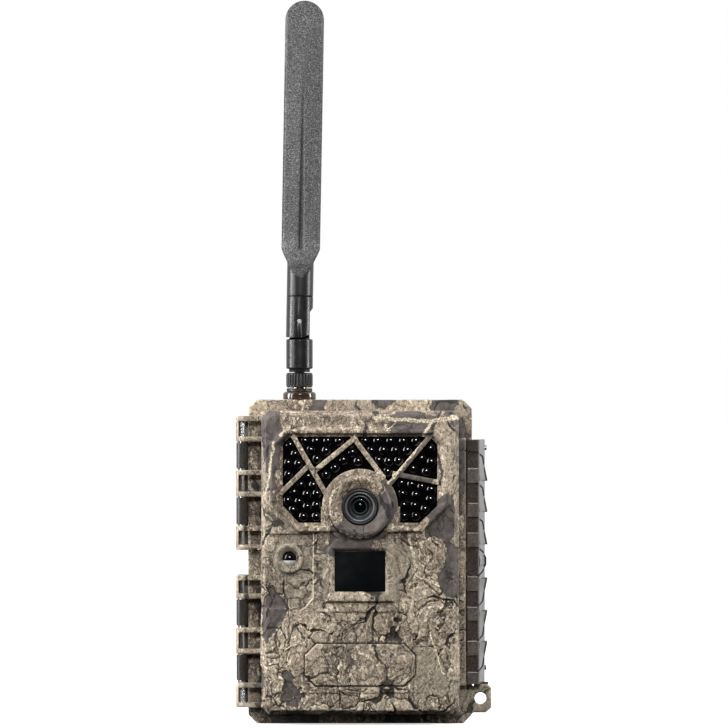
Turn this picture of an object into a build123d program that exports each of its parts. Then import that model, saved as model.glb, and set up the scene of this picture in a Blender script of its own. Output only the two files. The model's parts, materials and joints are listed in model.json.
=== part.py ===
from build123d import *
import math
import os

# Cellular trail camera: a two-shell box with a hinged front cover, a long side latch and a folding
# paddle antenna.  Millimetres.  X is to the right seen from the front, the lens looks along -Y and
# +Z is up.  The origin is the mouth of the tripod socket, in the middle of the flat underside.

# ---------------------------------------------------------------- driving dimensions
BODY_WIDTH = 97.0
BODY_HEIGHT = 140.2
BACK_Y = 18.0            # rear wall, outside
PARTING_Y = -19.0        # front rim of the rear housing
WALL = 3.0
CORNER = 3.8             # cut corners of both shells, seen from the front

COVER_WIDTH = 85.0
COVER_BOTTOM = 4.8
COVER_TOP = 135.5
COVER_GAP = 0.2          # cover rim to housing rim
FACE_Y = -43.0           # main front surface of the cover
RAISED_Y = -45.2         # top of the raised frames on the cover
RIB_Y = -44.4            # front of the bars across the LED window
RECESS = 0.9             # depth of the sunken field round the light sensor
COVER_BACK = PARTING_Y - COVER_GAP
FRONT_INSIDE = FACE_Y + WALL

LENS_Z = 94.3            # optical axis, X = 0
COLLAR_R = 16.3
BEZEL_R = 13.7
LENS_R = 7.8
LED_R = 1.5
LED_PANEL_T = 1.5

PIR_Z = 66.5
PIR_HALF_W = 10.9
PIR_HALF_H = 8.75

LIGHT_X = -30.4
LIGHT_Z = 72.0
LIGHT_R = 2.95

HINGE_X = -51.0
HINGE_Y = -22.2
PIN_R = 1.2
KNURL_R = 1.5
BARREL_R = 2.55
EYE_R = 2.75
ARM_T = 2.2              # each arm of a cover knuckle, along Z
RUNNING = 0.06           # radial clearance of every running fit

LATCH_PIVOT_X = 51.6
LATCH_PIVOT_Y = 11.8
LATCH_BOTTOM = 17.2
LATCH_TOP = 122.9
LATCH_MIDDLE = (LATCH_BOTTOM + LATCH_TOP) / 2
LATCH_EYE_R = 2.1

TAB_HOLE_X = 52.2
TAB_HOLE_Z = 10.9
TAB_HOLE_R = 2.5

ANT_X = -26.5
ANT_Y = 9.5
ANT_R = 5.8
ANT_PIVOT_Z = 174.5
ANT_TILT = 1.0           # the paddle leans this far towards +X at rest
ANT_TOP = 314.4
BLADE_HALF_W = 8.45
BLADE_T = 8.0
TIP_Z = ANT_TOP - 9.0     # where the rounded tip begins

CELL_R = 7.25            # AA cells
CELL_LENGTH = 50.5
CELL_PITCH = 17.5
CELL_Y = -4.5

STRAP_RIB_X = 34.0
STRAP_RIB_W = 8.0
STRAP_RIB_BACK = 29.0
CABLE_HOLE_R = 4.5

INSERT_R = 5.0           # tripod insert, outside
SOCKET_R = 2.55          # 1/4-20 tapped hole, modelled at its tapping diameter
INSERT_LENGTH = 10.0

PANEL_FRONT = -24.0      # control panel behind the cover
PANEL_BACK = -22.0
BOARD_FRONT = -27.2      # main circuit board
BOARD_BACK = -25.8

KNUCKLES = [(122.1, 133.1), (98.3, 109.8), (75.3, 85.7), (54.2, 64.3), (30.3, 41.7), (7.1, 17.8)]
BARRELS = [(110.5, 121.7), (86.4, 97.9), (42.6, 53.8), (18.9, 29.9)]
LEAF_FACE = -52.9        # outer face of the two hinge leaves
LEAF_FRONT = -18.6

# Bars across the LED window: centre lines from (x, z) to (x, z).
BARS = [
    ((-28.9, 124.9), (-14.9, 100.2)),
    ((-34.4, 99.8), (-22.3, 111.9)),
    ((-20.2, 109.2), (-1.6, 124.3)),
    ((-2.4, 123.4), (10.4, 106.4)),
    ((30.4, 125.0), (12.4, 103.7)),
    ((14.0, 108.6), (34.0, 104.7)),
]
BAR_W = 2.1

# Infrared LEDs, one row of (x, z) per cell of the window.
LEDS = [
    (-30.1, 120.7), (-27.9, 116.8), (-30.9, 113.0), (-26.4, 112.7), (-30.8, 108.0),
    (-23.7, 122.5), (-18.7, 122.5), (-13.9, 122.5), (-8.9, 122.5), (-21.2, 118.6), (-14.6, 118.3),
    (-18.6, 114.7),
    (-14.7, 108.1), (-10.8, 111.0), (-7.1, 114.3), (-3.3, 117.6), (-0.8, 113.7),
    (-22.3, 107.2), (-25.4, 103.7), (-20.1, 103.5), (-28.4, 100.4), (-22.8, 99.6), (-18.5, 99.8),
    (-31.1, 96.9), (-26.2, 96.4), (-28.8, 92.9), (-22.7, 94.2), (-18.7, 94.9), (-24.4, 90.0),
    (-18.9, 90.0),
    (2.2, 122.5), (7.6, 122.5), (13.2, 122.5), (18.7, 122.5), (24.0, 122.5), (4.9, 118.4),
    (10.1, 118.5), (15.3, 118.4), (20.4, 118.5), (8.1, 114.2), (12.3, 113.8), (16.6, 114.0),
    (11.9, 109.3),
    (30.3, 119.3), (26.5, 115.0), (30.7, 113.5), (22.9, 110.6), (28.5, 109.3),
    (17.9, 104.4), (22.2, 103.8), (26.6, 102.8), (30.7, 101.6), (18.3, 99.8), (24.1, 99.3),
    (30.3, 97.4), (18.9, 94.9), (23.6, 94.7), (28.0, 93.2), (19.1, 90.2), (24.0, 90.2),
]

SCREEN_Z = (86.0, 118.0)
KEYS = {
    "button_up": (8.0, 69.0),
    "button_down": (8.0, 47.0),
    "button_left": (-3.0, 58.0),
    "button_right": (19.0, 58.0),
    "button_ok": (8.0, 58.0),
    "button_menu": (29.5, 66.0),
}
KEY_R = 3.6
KEY_FLANGE_R = 4.5
SWITCH_X = 29.5
SWITCH_Z = 40.0
SWITCH_TRAVEL = 6.0
CARD_X = (-32.0, -8.0)
CARD_BOTTOM = 16.9
CARD_LENGTH = 32.0
CARD_EJECT = 4.0
FILTER_TRAVEL = 7.0

BOARD_POSTS = [(-31.0, 11.4), (31.0, 11.4), (-31.0, 79.0), (31.0, 79.0)]
PANEL_POSTS = [(-36.2, 11.2), (36.2, 11.2), (-36.2, 129.1), (36.2, 129.1)]
TRAY_POSTS = [(-35.6, 40.0), (35.6, 40.0), (-35.6, 100.0), (35.6, 100.0)]
MODEM_POSTS = [(-27.0, 26.0), (27.0, 26.0), (-27.0, 122.0), (27.0, 122.0)]


# ---------------------------------------------------------------- helpers
def block(x0, x1, y0, y1, z0, z1):
    """A box between two corners."""
    return Pos((x0 + x1) / 2, (y0 + y1) / 2, (z0 + z1) / 2) * Box(x1 - x0, y1 - y0, z1 - z0)


def outline(points, y):
    """A flat face at depth y whose corners are (x, z) points."""
    face = make_face(Polyline(*points, close=True))
    return Plane.XZ.offset(-y) * face


def slab(points, y0, y1):
    """A straight prism along Y, from y0 to y1 (y0 is nearer the front)."""
    return extrude(outline(points, y1), amount=y1 - y0)


def taper(points0, y0, points1, y1):
    """A tapered prism between two outlines with the same number of corners."""
    return loft([outline(points0, y0), outline(points1, y1)])


def plan(points, z0, z1):
    """A prism along Z over (x, y) points."""
    face = make_face(Polyline(*points, close=True))
    return extrude(Plane.XY.offset(z0) * face, amount=z1 - z0)


def cut_rect(x0, x1, z0, z1, low, high=None):
    """A rectangle with 45-degree corners: low at the bottom, high at the top."""
    top = low if high is None else high
    return [
        (x0 + low, z0), (x1 - low, z0), (x1, z0 + low), (x1, z1 - top),
        (x1 - top, z1), (x0 + top, z1), (x0, z1 - top), (x0, z0 + low),
    ]


def rod_x(x0, x1, y, z, r):
    return Pos((x0 + x1) / 2, y, z) * Rot(0, 90, 0) * Cylinder(r, x1 - x0)


def rod_y(x, z, r, y0, y1):
    return Pos(x, (y0 + y1) / 2, z) * Rot(90, 0, 0) * Cylinder(r, y1 - y0)


def rod_z(x, y, r, z0, z1):
    return Pos(x, y, (z0 + z1) / 2) * Cylinder(r, z1 - z0)


def cone_y(x, z, r0, y0, r1, y1):
    """A round taper along Y: radius r0 at y0 (the front) and r1 at y1."""
    return Pos(x, (y0 + y1) / 2, z) * Rot(90, 0, 0) * Cone(r1, r0, y1 - y0)


def group(parts):
    return Compound(children=parts)


def mirrored_z(points, middle):
    """The same points turned upside down about the height middle."""
    return [(x, 2 * middle - z) for x, z in reversed(points)]


def bar(start, end, width, y0, y1):
    """A straight bar of the given width between two (x, z) points."""
    run = math.hypot(end[0] - start[0], end[1] - start[1])
    nx = -(end[1] - start[1]) / run * width / 2
    nz = (end[0] - start[0]) / run * width / 2
    corners = [
        (start[0] - nx, start[1] - nz), (end[0] - nx, end[1] - nz),
        (end[0] + nx, end[1] + nz), (start[0] + nx, start[1] + nz),
    ]
    return slab(corners, y0, y1)


def post_screw(x, z, head_r, shank_r, seat, reach, head_t):
    """A pan-head screw driven towards -Y: head behind y = seat, tip at y = reach."""
    screw = rod_y(x, z, shank_r, reach, seat) + rod_y(x, z, head_r, seat, seat + head_t)
    return screw - block(x - head_r, x + head_r, seat + head_t - 0.5, seat + head_t, z - 0.3, z + 0.3)


# ---------------------------------------------------------------- rear housing and what is fixed to it
def rear_housing():
    half = BODY_WIDTH / 2
    bevel = 2.5
    back = BACK_Y - bevel
    shell = slab(cut_rect(-half, half, 0, BODY_HEIGHT, CORNER), PARTING_Y, back)
    shell += taper(
        cut_rect(-half, half, 0, BODY_HEIGHT, CORNER), back,
        cut_rect(-half + bevel, half - bevel, 0, BODY_HEIGHT - bevel, CORNER), BACK_Y)
    shell -= slab(
        cut_rect(-half + WALL, half - WALL, WALL, BODY_HEIGHT - WALL, CORNER - 1.2),
        PARTING_Y + WALL, BACK_Y - WALL)
    shell -= slab(cut_rect(-38.5, 38.5, 9.0, 131.3, 3.0), PARTING_Y - 1, PARTING_Y + WALL + 1)
    shell += rod_z(0, 0, INSERT_R + 2.2, 0.5, INSERT_LENGTH + 2)
    shell -= rod_z(0, 0, INSERT_R, -1, INSERT_LENGTH)
    shell -= rod_z(ANT_X, ANT_Y, 3.2, BODY_HEIGHT - WALL - 1, BODY_HEIGHT + 1)
    for x, z in TRAY_POSTS:
        shell += rod_y(x, z, 2.4, 4.2, BACK_Y - WALL + 0.5) - rod_y(x, z, 1.1, 4.2, 11.0)
    for x, z in MODEM_POSTS:
        shell += rod_y(x, z, 2.2, 8.8, BACK_Y - WALL + 0.5) - rod_y(x, z, 1.1, 8.8, 13.0)
    for side in (-1, 1):
        shell += strap_rib(side)
    shell += padlock_tab()
    for z0, z1 in latch_lugs():
        shell += latch_lug(z0, z1)
    for z0, z1 in BARRELS:
        shell -= rod_x(-half - 1, -half + WALL + 1, -14.0, (z0 + z1) / 2, 1.0)
    return shell


def strap_rib(side):
    """Upright rib on the back with a strap slot, a cable hole and a toothed edge for bark."""
    x0 = side * STRAP_RIB_X - STRAP_RIB_W / 2
    x1 = side * STRAP_RIB_X + STRAP_RIB_W / 2
    crest = STRAP_RIB_BACK
    section = [(BACK_Y - 0.5, 14.0), (crest - 6, 14.0)]
    teeth = 12
    pitch = (126.0 - 20.0) / teeth
    for i in range(teeth):
        section.append((crest, 20.0 + (i + 0.25) * pitch))
        section.append((crest, 20.0 + (i + 0.65) * pitch))
        section.append((crest - 2.0, 20.0 + (i + 1) * pitch - 0.4))
    section += [(crest - 6, 130.0), (BACK_Y - 0.5, 130.0)]
    face = make_face(Polyline(*section, close=True))
    rib = extrude(Plane.YZ.offset(x0) * face, amount=x1 - x0)
    rib -= block(x0 - 1, x1 + 1, 20.2, 25.2, 56.0, 84.0)
    return rib - rod_x(x0 - 1, x1 + 1, 23.0, 102.0, CABLE_HOLE_R)


def padlock_tab():
    right = 57.0
    tab = slab(
        [(BODY_WIDTH / 2 - 0.5, 4.6), (right - 2.6, 4.6), (right, 6.8), (right, 15.4),
         (right - 1.6, 16.9), (50.2, 16.9), (50.2, 16.2), (BODY_WIDTH / 2 - 0.5, 16.2)],
        PARTING_Y, PARTING_Y + 6)
    return tab - rod_y(TAB_HOLE_X, TAB_HOLE_Z, TAB_HOLE_R, PARTING_Y - 1, PARTING_Y + 7)


def latch_lugs():
    """Heights of the two ears that carry the latch pin."""
    return [(21.1, 24.9), (BODY_HEIGHT - 23.0, BODY_HEIGHT - 19.2)]


def latch_lug(z0, z1):
    lug = rod_z(LATCH_PIVOT_X, LATCH_PIVOT_Y, 2.6, z0, z1)
    lug += block(BODY_WIDTH / 2 - 0.5, LATCH_PIVOT_X, LATCH_PIVOT_Y - 2.6, LATCH_PIVOT_Y + 2.6, z0, z1)
    lug -= rod_z(LATCH_PIVOT_X, LATCH_PIVOT_Y, PIN_R, z0 - 1, z1 + 1)
    return lug - rod_x(LATCH_PIVOT_X, LATCH_PIVOT_X + 4, LATCH_PIVOT_Y, (z0 + z1) / 2, 0.8)


def latch_pin():
    low, high = latch_lugs()
    return rod_z(LATCH_PIVOT_X, LATCH_PIVOT_Y, PIN_R, low[0], high[1])


def latch_pin_screws():
    """Grub screws that lock the latch pin in its two ears."""
    screws = []
    for z0, z1 in latch_lugs():
        z = (z0 + z1) / 2
        inner = LATCH_PIVOT_X + 1.9
        outer = LATCH_PIVOT_X + 2.6
        screw = rod_x(inner, outer + 0.2, LATCH_PIVOT_Y, z, 0.8)
        screw += rod_x(outer + 0.1, outer + 1.1, LATCH_PIVOT_Y, z, 1.1)
        screws.append(screw)
    return group(screws)


def hinge_leaves():
    """Heights of the two hinge leaves, each with the barrels that it carries."""
    return [(KNUCKLES[2][0], KNUCKLES[0][1], BARRELS[:2]), (KNUCKLES[5][0], KNUCKLES[3][1], BARRELS[2:])]


def hinge_barrels():
    """Two hinge leaves screwed to the side of the housing, each with two barrels for the pins."""
    side = -BODY_WIDTH / 2
    leaves = []
    for low, high, barrels in hinge_leaves():
        leaf = block(LEAF_FACE, side, LEAF_FRONT, -10.0, low, high)
        for z0, z1 in barrels:
            middle = (z0 + z1) / 2
            leaf += rod_z(HINGE_X, HINGE_Y, BARREL_R, z0, z1)
            leaf += block(HINGE_X - 0.9, side, HINGE_Y, LEAF_FRONT + 0.5, z0, z1)
            leaf -= rod_z(HINGE_X, HINGE_Y, PIN_R + RUNNING, z0 - 1, z1 + 1)
            leaf -= rod_x(LEAF_FACE - 1, side + 1, -14.0, middle, 1.0)
            leaf -= rod_x(LEAF_FACE - 1, LEAF_FACE + 1.1, -14.0, middle, 2.0)
        leaves.append(leaf)
    return group(leaves)


def hinge_screws():
    side = -BODY_WIDTH / 2
    seat = LEAF_FACE + 1.1
    screws = []
    for z0, z1 in BARRELS:
        z = (z0 + z1) / 2
        screw = rod_x(seat - 0.9, seat, -14.0, z, 2.0) + rod_x(seat - 0.1, side + WALL, -14.0, z, 1.0)
        screws.append(screw)
    return group(screws)


def tripod_insert():
    insert = rod_z(0, 0, INSERT_R, 0, INSERT_LENGTH) - rod_z(0, 0, SOCKET_R, -1, INSERT_LENGTH + 1)
    return insert


def cell_columns():
    return [CELL_PITCH * (i - 1.5) for i in range(4)]


def cell_rows():
    """Lowest and highest point of the two rows of cell bays."""
    return [(14.0, 69.0), (71.4, 126.4)]


def battery_tray():
    rows = cell_rows()
    tray = block(-37.5, 37.5, -5.0, 4.2, 12.0, 128.4)
    tray += block(-37.5, 37.5, -12.2, -4.9, 12.0, 14.0)
    tray += block(-37.5, 37.5, -12.2, -4.9, rows[0][1], rows[1][0])
    tray += block(-37.5, 37.5, -12.2, -4.9, 126.4, 128.4)
    for z0, z1 in rows:
        for x in cell_columns():
            tray -= rod_z(x, CELL_Y, CELL_R + 0.3, z0, z1)
            tray -= block(x - 4.0, x + 4.0, 2.6, 5.0, z0 + 16, z1 - 16)
    for x, z in TRAY_POSTS:
        tray -= rod_y(x, z, 1.1, -6.0, 5.0)
    return tray


def aa_cells():
    """Eight AA cells, neighbours the other way up."""
    cells = []
    for row, (z0, z1) in enumerate(cell_rows()):
        for column, x in enumerate(cell_columns()):
            up = (row + column) % 2 == 0
            low = z1 - 0.5 - CELL_LENGTH if up else z0 + 0.5
            cell = rod_z(x, CELL_Y, CELL_R, low, low + CELL_LENGTH - 1.0)
            nub = rod_z(x, CELL_Y, 2.75, low + CELL_LENGTH - 1.1, low + CELL_LENGTH)
            if not up:
                cell = rod_z(x, CELL_Y, CELL_R, low + 1.0, low + CELL_LENGTH)
                nub = rod_z(x, CELL_Y, 2.75, low, low + 1.1)
            cells.append(cell + nub)
    return group(cells)


def battery_contacts():
    plates = []
    for row, (z0, z1) in enumerate(cell_rows()):
        for column, x in enumerate(cell_columns()):
            up = (row + column) % 2 == 0
            z = z1 - 0.5 if up else z0
            plates.append(block(x - 4.5, x + 4.5, CELL_Y - 4.0, CELL_Y + 4.0, z, z + 0.5))
    return group(plates)


def battery_springs():
    springs = []
    for row, (z0, z1) in enumerate(cell_rows()):
        for column, x in enumerate(cell_columns()):
            up = (row + column) % 2 == 0
            gap = z1 - z0 - CELL_LENGTH - 0.5
            wire = 0.35
            path = Helix(pitch=1.25, height=gap - 2 * wire, radius=4.0, cone_angle=-18)
            section = Plane(path @ 0, z_dir=path % 0) * Circle(wire)
            spring = sweep(section, path=path)
            if up:
                springs.append(Pos(x, CELL_Y, z0 + wire) * spring)
            else:
                springs.append(Pos(x, CELL_Y, z1 - wire) * Rot(180, 0, 0) * spring)
    return group(springs)


def modem_board():
    board = block(-31.0, 31.0, 7.4, 8.8, 20.0, 128.0)
    for x, z in MODEM_POSTS:
        board -= rod_y(x, z, 1.1, 7.0, 9.0)
    return board


def modem_module():
    """Shielded radio module with its raised lid."""
    return block(-16.0, 14.0, 8.8, 11.0, 76.0, 108.0) + block(-15.0, 13.0, 10.9, 11.4, 77.0, 107.0)


def sim_holder():
    holder = block(-8.0, 8.0, 8.8, 10.4, 40.0, 58.0)
    return holder - block(-6.2, 6.2, 9.2, 10.1, 41.0, 59.0)


def rear_screws():
    """Screws of the battery tray and of the modem board."""
    screws = []
    for x, z in TRAY_POSTS:
        screws.append(Pos(x, -5.0, z) * Rot(90, 0, 0) * Cylinder(1.9, 1.0, align=(Align.CENTER,
                      Align.CENTER, Align.MIN)) + rod_y(x, z, 1.1, -5.5, 9.0))
    for x, z in MODEM_POSTS:
        head = rod_y(x, z, 2.0, 6.4, 7.4)
        screws.append(head + rod_y(x, z, 1.1, 6.8, 12.0))
    return group(screws)


def antenna_jack():
    """Bulkhead coaxial jack: hexagon inside the housing, threaded barrel outside."""
    jack = rod_z(ANT_X, ANT_Y, 3.15, BODY_HEIGHT - 4.0, 150.0)
    hexagon = Plane.XY.offset(BODY_HEIGHT - 5.7) * Pos(ANT_X, ANT_Y) * RegularPolygon(4.6, 6)
    jack += extrude(hexagon, amount=2.7)
    jack += rod_z(ANT_X, ANT_Y, 2.0, 130.5, BODY_HEIGHT - 5.0)
    return jack - rod_z(ANT_X, ANT_Y, 1.0, 146.0, 151.0)


def jack_collar():
    collar = rod_z(ANT_X, ANT_Y, 7.2, BODY_HEIGHT, 143.6)
    collar = chamfer(collar.faces().sort_by(Axis.Z)[-1].edges(), 0.8)
    return collar - rod_z(ANT_X, ANT_Y, 3.2, 139.0, 145.0)


def jack_nut():
    nut = rod_z(ANT_X, ANT_Y, 5.6, 143.6, 145.1)
    return nut - rod_z(ANT_X, ANT_Y, 3.15, 143.0, 146.0)


# ---------------------------------------------------------------- front cover and what it carries
def led_window():
    """Outline of the window behind which the LEDs sit."""
    return [
        (-26.4, 87.4), (25.8, 87.4), (33.2, 94.7), (33.2, 121.2), (29.9, 124.4),
        (-29.9, 124.4), (-33.2, 121.2), (-33.2, 94.7),
    ]


def led_cells(y0, y1):
    """The openings of the LED window: its outline without the bars and the lens collar."""
    cells = slab(led_window(), y0, y1)
    cells -= rod_y(0, LENS_Z, COLLAR_R, y0 - 1, y1 + 1)
    cells -= block(-16.8, 17.2, y0 - 1, y1 + 1, 80.0, LENS_Z)
    for start, end in BARS:
        cells -= bar(start, end, BAR_W, y0 - 1, y1 + 1)
    return cells


def led_frame(inset, y):
    """Outline of the raised ridge round the LED window, drawn in by inset."""
    half = 39.3 - inset
    return cut_rect(-half, half, 82.7 + inset, 128.4 - inset, 12.4 - 0.6 * inset, 7.0 - 0.6 * inset)


def pir_frame(grow):
    return [
        (-15.4 - grow, 52.9 - grow), (15.0 + grow, 52.9 - grow), (15.0 + grow, 81.0 + grow),
        (-10.0, 81.0 + grow), (-14.4 - grow, 76.6), (-14.4 - grow, 68.0),
        (-16.7 - grow, 63.6), (-13.7 - grow, 57.0),
    ]


def front_cover():
    half = COVER_WIDTH / 2
    edge = 4.4
    inset = 2.0
    cover = slab(cut_rect(-half, half, COVER_BOTTOM, COVER_TOP, 3.0), FACE_Y + edge, COVER_BACK)
    cover += taper(
        cut_rect(-half + inset, half - inset, COVER_BOTTOM + inset, COVER_TOP - inset, 2.6), FACE_Y,
        cut_rect(-half, half, COVER_BOTTOM, COVER_TOP, 3.0), FACE_Y + edge)
    cover -= slab([(-44.0, 51.0), (-24.0, 51.0), (-20.3, 55.0), (-20.3, 82.6), (-44.0, 82.6)],
                  FACE_Y - 1, FACE_Y + RECESS)
    cover += cover_relief()
    cover -= slab(
        cut_rect(-half + WALL, half - WALL, COVER_BOTTOM + WALL, COVER_TOP - WALL, 2.0),
        FRONT_INSIDE, COVER_BACK + 1)
    cover -= led_cells(RAISED_Y - 1, FRONT_INSIDE + 1)
    cover -= slab(cut_rect(-36.4, 36.4, 84.2, 127.2, 9.0, 4.0), FRONT_INSIDE - LED_PANEL_T,
                  FRONT_INSIDE + 1)
    cover -= rod_y(0, LENS_Z, LENS_R, RAISED_Y - 3, FRONT_INSIDE + 1)
    cover -= rod_y(0, LENS_Z, BEZEL_R + 0.5, RAISED_Y - 3, RIB_Y)
    cover = cover_openings(cover)
    cover = cover_posts(cover)
    for z0, z1 in KNUCKLES:
        cover += knuckle(z0, z1)
    bore = PIN_R
    cover -= rod_z(HINGE_X, HINGE_Y, bore, 0, BODY_HEIGHT)
    for z0, z1 in ((KNUCKLES[0][1] - ARM_T, KNUCKLES[0][1]), (KNUCKLES[-1][0], KNUCKLES[-1][0] + ARM_T)):
        cover -= rod_z(HINGE_X, HINGE_Y, KNURL_R, z0 - 1, z1 + 1)
    cover += catch_rib()
    ring = slab(cut_rect(-41.6, 41.6, 5.7, 134.6, 3.0), COVER_BACK - 1.4, COVER_BACK + 1)
    ring -= slab(cut_rect(-40.4, 40.4, 6.9, 133.4, 2.6), COVER_BACK - 2, COVER_BACK + 2)
    return cover - ring


def cover_relief():
    """Everything that stands out from the front face."""
    ridge = taper(led_frame(1.2, RAISED_Y), RAISED_Y, led_frame(0, FACE_Y), FACE_Y + 0.5)
    ridge -= taper(led_frame(2.4, RAISED_Y), RAISED_Y - 0.1,
                   cut_rect(-33.8, 33.8, 86.9, 125.0, 8.0, 3.8), FACE_Y)
    window = slab(cut_rect(-34.2, 34.2, 86.0, 125.4, 8.2, 4.0), RIB_Y, FACE_Y + 0.5)
    bars = bar(BARS[0][0], BARS[0][1], BAR_W, RIB_Y, FACE_Y + 0.5)
    for start, end in BARS[1:]:
        bars += bar(start, end, BAR_W, RIB_Y, FACE_Y + 0.5)
    bars = bars & window
    collar = rod_y(0, LENS_Z, COLLAR_R, RIB_Y, FACE_Y + 0.5)
    frame = taper(pir_frame(-0.9), RAISED_Y, pir_frame(0), FACE_Y + 0.5)
    step = slab([(-13.0, 49.1), (20.0, 49.1), (20.0, 52.2), (-13.0, 52.2)], FACE_Y - 0.6, FACE_Y + 0.5)
    badge = taper(cut_rect(-23.4, 23.4, 17.6, 35.0, 4.8), FACE_Y - 0.9,
                  cut_rect(-24.0, 24.0, 17.0, 35.6, 5.0), FACE_Y + 0.5)
    sill = slab([(-25.5, 14.3), (25.5, 14.3), (24.0, 17.2), (-24.0, 17.2)], FACE_Y - 0.4, FACE_Y + 0.5)
    ring = rod_y(LIGHT_X, LIGHT_Z, 6.15, FACE_Y - 0.5, FACE_Y + RECESS + 0.5)
    return ridge + bars + collar + frame + step + badge + sill + ring


def cover_openings(cover):
    """Motion sensor window, light sensor eye and their sloped surrounds."""
    w = PIR_HALF_W
    h = PIR_HALF_H
    lip = 1.3
    cover -= block(-w, w, RAISED_Y - 1, FRONT_INSIDE + 1, PIR_Z - h, PIR_Z + h)
    cover -= taper(
        cut_rect(-w - lip, w + lip, PIR_Z - h - lip, PIR_Z + h + lip, 0.3), RAISED_Y - 0.1,
        cut_rect(-w, w, PIR_Z - h, PIR_Z + h, 0.3), RAISED_Y + 1.4)
    cover -= rod_y(LIGHT_X, LIGHT_Z, LIGHT_R + 0.05, FACE_Y - 2, FRONT_INSIDE + 1)
    cover -= cone_y(LIGHT_X, LIGHT_Z, 5.5, FACE_Y - 0.8, LIGHT_R, FACE_Y + 0.9)
    return cover


def cover_posts(cover):
    inside = FRONT_INSIDE - 0.5
    for x, z in BOARD_POSTS:
        cover += rod_y(x, z, 2.4, inside, BOARD_FRONT)
        cover -= rod_y(x, z, 1.0, BOARD_FRONT - 7, BOARD_FRONT + 1)
    for x, z in PANEL_POSTS:
        cover += rod_y(x, z, 2.6, inside, PANEL_FRONT)
        cover -= rod_y(x, z, 1.1, PANEL_FRONT - 8, PANEL_FRONT + 1)
    return cover


def knuckle(z0, z1):
    """A cover knuckle: two arms round the pin, closed by a thin upright on the outside."""
    reach = -COVER_WIDTH / 2 + 0.5
    arms = rod_z(HINGE_X, HINGE_Y, EYE_R, z0, z1)
    arms += block(HINGE_X, reach, HINGE_Y - 2.3, COVER_BACK, z0, z1)
    window = block(HINGE_X - 1.5, -COVER_WIDTH / 2, HINGE_Y - 4, HINGE_Y + 4, z0 + ARM_T, z1 - ARM_T)
    return arms - window


def catch_rib():
    """Rib down the free edge of the cover that the latch closes over, in four lengths."""
    rib = block(COVER_WIDTH / 2 - 0.5, 45.7, -23.4, COVER_BACK, 16.5, 123.5)
    for z in (40.6, 79.6, 118.1):
        rib -= block(COVER_WIDTH / 2 + 0.3, 46.0, -24.0, -22.6, z - 0.3, z + 0.3)
    return rib


def hinge_pins():
    """Two pins, pressed into the outermost cover knuckles by their knurled ends."""
    upper = rod_z(HINGE_X, HINGE_Y, PIN_R, KNUCKLES[2][0], KNUCKLES[0][0] + 3)
    upper += rod_z(HINGE_X, HINGE_Y, KNURL_R, KNUCKLES[0][0] + ARM_T, KNUCKLES[0][1])
    lower = rod_z(HINGE_X, HINGE_Y, PIN_R, KNUCKLES[5][1] - 3, KNUCKLES[3][1])
    lower += rod_z(HINGE_X, HINGE_Y, KNURL_R, KNUCKLES[5][0], KNUCKLES[5][1] - ARM_T)
    return group([upper, lower])


def gasket():
    ring = slab(cut_rect(-41.55, 41.55, 5.75, 134.55, 3.0), COVER_BACK - 1.4, PARTING_Y - 0.1)
    return ring - slab(cut_rect(-40.45, 40.45, 6.85, 133.45, 2.6), COVER_BACK - 2, COVER_BACK + 2)


def lens_bezel():
    """Camouflaged ring round the lens, standing proud of the cover."""
    front = RAISED_Y - 4.2
    bezel = cone_y(0, LENS_Z, BEZEL_R - 1.0, front, BEZEL_R, front + 1.0)
    bezel += rod_y(0, LENS_Z, BEZEL_R, front + 0.99, RIB_Y)
    bezel -= cone_y(0, LENS_Z, 11.6, front - 0.01, LENS_R + 0.05, front + 1.8)
    return bezel - rod_y(0, LENS_Z, LENS_R + 0.05, front - 1, RIB_Y + 1)


def lens_barrel():
    """Black stepped tube that holds the lens elements."""
    front = RAISED_Y - 2.6
    barrel = rod_y(0, LENS_Z, LENS_R - 0.02, front, -36.8)
    barrel -= cone_y(0, LENS_Z, 6.9, front - 0.01, 6.3, front + 0.9)
    barrel -= rod_y(0, LENS_Z, 5.2, front, front + 2.0)
    barrel -= rod_y(0, LENS_Z, 4.1, front, front + 4.6)
    barrel -= rod_y(0, LENS_Z, 3.2, front, -36.0)
    return barrel


def lens_front_glass():
    """Meniscus front element with a domed face."""
    seat = RAISED_Y + 2.0
    dome = Pos(0, seat + 2.4, LENS_Z) * Sphere(4.9)
    return (dome & rod_y(0, LENS_Z, 4.1, seat - 3, seat)) - Pos(0, seat + 3.2, LENS_Z) * Sphere(4.2)


def lens_mount():
    mount = block(-13.0, 13.0, -36.8, -29.0, LENS_Z - 9, LENS_Z + 9)
    mount -= rod_y(0, LENS_Z, 4.0, -37.0, -33.4)
    mount -= block(-11.4, 11.4, -33.4, -31.6, LENS_Z - 5.0, LENS_Z + 5.0)
    mount -= block(-5.0, 5.0, -31.7, -28.0, LENS_Z - 4.2, LENS_Z + 4.2)
    return mount


def ir_filter_frame():
    """Two-window carriage that slides across behind the lens."""
    frame = block(-4.0, 11.0, -33.1, -31.9, LENS_Z - 4.7, LENS_Z + 4.7)
    for x in (0.0, FILTER_TRAVEL):
        frame -= block(x - 2.9, x + 2.9, -33.2, -31.8, LENS_Z - 3.4, LENS_Z + 3.4)
    return frame


def ir_filter_glass():
    panes = []
    for x in (0.0, FILTER_TRAVEL):
        panes.append(block(x - 2.9, x + 2.9, -32.9, -32.3, LENS_Z - 3.4, LENS_Z + 3.4))
    return group(panes)


def sensor_board():
    return block(-14.0, 14.0, -29.0, -27.8, LENS_Z - 10, LENS_Z + 10)


def image_sensor():
    return block(-4.0, 4.0, -30.2, -29.0, LENS_Z - 3.2, LENS_Z + 3.2)


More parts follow.
